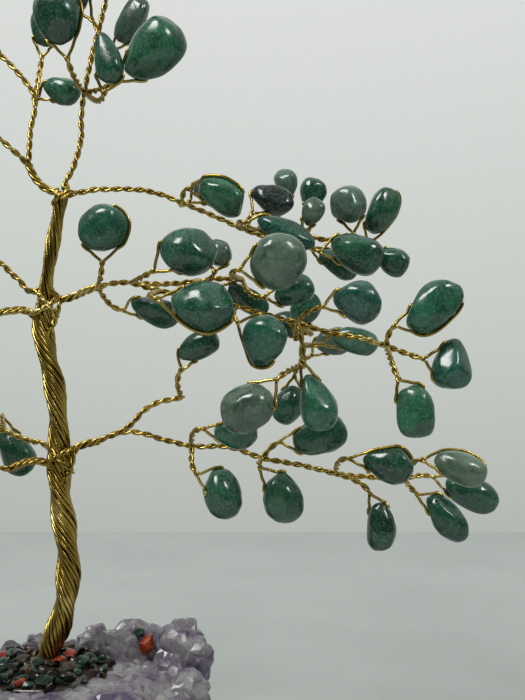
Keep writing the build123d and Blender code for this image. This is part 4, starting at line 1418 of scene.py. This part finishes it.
class GEMTREE_OT_glue(bpy.types.Operator):
    """Pour the low mound of clear glue under the chips"""

    bl_idname = "gemtree.glue"
    bl_label = "Glue"

    def execute(self, context):
        shape = bmesh.new()
        around = GLUE_AROUND
        top = shape.verts.new(Vector((0, 0, BASE_TOP + GLUE_HEIGHT)) * MM)
        last = None
        for k in range(1, GLUE_RINGS + 1):
            share = k / GLUE_RINGS
            ring = []
            for i in range(around):
                angle = 2 * math.pi * i / around
                bend = noise.noise(Vector((math.cos(angle) * 2, math.sin(angle) * 2, 3)))
                edge = 1 + GLUE_EDGE_SHARE * bend
                spot = Vector((math.cos(angle), math.sin(angle), 0)) * (GLUE_RADIUS * share * edge)
                ripple = GLUE_RIPPLE * noise.noise(spot / GLUE_WAVE) * (1 - share**4)
                spot.z = BASE_TOP + GLUE_HEIGHT * (1 - share**2) + ripple - GLUE_DROP * share**6
                ring.append(shape.verts.new(spot * MM))
            for i in range(around):
                if last is None:
                    shape.faces.new((top, ring[i], ring[(i + 1) % around]))
                else:
                    shape.faces.new((last[i], ring[i], ring[(i + 1) % around], last[(i + 1) % around]))
            last = ring
        under = [shape.verts.new(vert.co - Vector((0, 0, GLUE_SKIRT * MM))) for vert in last]
        for i in range(around):
            shape.faces.new((last[i], under[i], under[(i + 1) % around], last[(i + 1) % around]))
        shape.faces.new(under[::-1])
        settle(smooth_mesh("glue_pool", shape, "clear_glue"), "stand", "clear_glue", "glue_mound")
        return {"FINISHED"}


class GEMTREE_OT_stage(bpy.types.Operator):
    """Set the pale floor, the soft light and the camera at the photograph's viewing angle"""

    bl_idname = "gemtree.stage"
    bl_label = "Stage"

    def execute(self, context):
        pale, add, spot = new_material("Pale floor")
        tint = add("ShaderNodeTexNoise", {"Vector": spot, "Scale": 1 / (60.0 * MM), "Detail": 3.0})
        colours = add("ShaderNodeValToRGB", {"Fac": tint}, stops=((0.3, "#A8ADA9"), (0.7, "#B0B5B1")))
        shader = add("ShaderNodeBsdfPrincipled", {"Base Color": colours, "Roughness": 0.45})
        add("ShaderNodeOutputMaterial", {"Surface": shader})
        shape = bmesh.new()
        shape.faces.new([shape.verts.new(Vector((*corner, 0)) * MM) for corner in FLOOR_CORNERS])
        mesh = bpy.data.meshes.new("floor")
        shape.to_mesh(mesh)
        shape.free()
        mesh.materials.append(pale)
        add_object("floor", mesh)
        scene = context.scene
        world = bpy.data.worlds.new("Soft light")
        world.use_nodes = True
        world.node_tree.nodes.clear()
        add = node_adder(world.node_tree)
        # The light comes from above and behind, and is weaker on the viewer's side.
        way = add("ShaderNodeTexCoord").outputs["Generated"]
        facing = add(
            "ShaderNodeVectorMath", {"Vector": way, "Vector_001": Vector(LIGHT_WAY).normalized()},
            operation="DOT_PRODUCT",
        )
        level = add("ShaderNodeMapRange", {"Value": facing, "From Min": -1.0, "From Max": 1.0})
        shades = ((0.0, "#272A28"), (0.45, "#565A57"), (0.76, "#C2C7C1"), (1.0, "#EEF0EE"))
        colours = add("ShaderNodeValToRGB", {"Fac": level}, stops=shades)
        glow = add("ShaderNodeBackground", {"Color": colours})
        add("ShaderNodeOutputWorld", {"Surface": glow})
        scene.world = world
        scene.view_settings.view_transform = "Standard"
        aim = Vector(LAMP_AIM) * MM
        for name, spot, size, power in LAMPS:
            light = bpy.data.lights.new(name, "AREA")
            light.size = size * MM
            light.energy = power
            lamp = add_object(name, light)
            lamp.location = Vector(spot) * MM
            lamp.rotation_euler = (aim - lamp.location).to_track_quat("-Z", "Y").to_euler()
        lens = bpy.data.cameras.new("camera")
        lens.sensor_fit = "VERTICAL"
        lens.sensor_height = SENSOR_HEIGHT
        lens.lens = SENSOR_HEIGHT / FRAME_ROWS * VIEW_DISTANCE * (TIP_COLUMN - FOOT_COLUMN) / CROWN_REACH
        camera = add_object("camera", lens)
        eye = place(EYE_COLUMN, EYE_ROW, 0)
        camera.location = (eye.x, -VIEW_DISTANCE * MM, eye.z)
        camera.rotation_euler = (math.pi / 2, 0, 0)
        scene.camera = camera
        return {"FINISHED"}


STEPS = (
    GEMTREE_OT_trunk, GEMTREE_OT_ropes, GEMTREE_OT_twigs, GEMTREE_OT_stones, GEMTREE_OT_cluster,
    GEMTREE_OT_chips, GEMTREE_OT_glue, GEMTREE_OT_stage,
)


class GEMTREE_PT_panel(bpy.types.Panel):
    """Buttons and settings of the gemstone tree"""

    bl_idname = "GEMTREE_PT_panel"
    bl_label = "Gemstone tree"
    bl_space_type = "VIEW_3D"
    bl_region_type = "UI"
    bl_category = "Gem Tree"

    def draw(self, context):
        scene = context.scene
        for settings in (scene.gem_tree_wire, scene.gem_tree_stone, scene.gem_tree_base):
            box = self.layout.box()
            for key in settings.__annotations__:
                box.prop(settings, key)
        for step in STEPS:
            self.layout.operator(step.bl_idname)


CLASSES = (GemTreeWire, GemTreeStone, GemTreeBase, *STEPS, GEMTREE_PT_panel)


def register():
    for kind in CLASSES:
        bpy.utils.register_class(kind)
    bpy.types.Scene.gem_tree_wire = bpy.props.PointerProperty(type=GemTreeWire)
    bpy.types.Scene.gem_tree_stone = bpy.props.PointerProperty(type=GemTreeStone)
    bpy.types.Scene.gem_tree_base = bpy.props.PointerProperty(type=GemTreeBase)


def unregister():
    del bpy.types.Scene.gem_tree_base
    del bpy.types.Scene.gem_tree_stone
    del bpy.types.Scene.gem_tree_wire
    for kind in reversed(CLASSES):
        bpy.utils.unregister_class(kind)


def main():
    register()
    bpy.ops.gemtree.trunk()
    bpy.ops.gemtree.ropes()
    bpy.ops.gemtree.twigs()
    bpy.ops.gemtree.stones()
    bpy.ops.gemtree.cluster()
    bpy.ops.gemtree.chips()
    bpy.ops.gemtree.glue()
    bpy.ops.gemtree.stage()


if __name__ == "__main__":
    main()
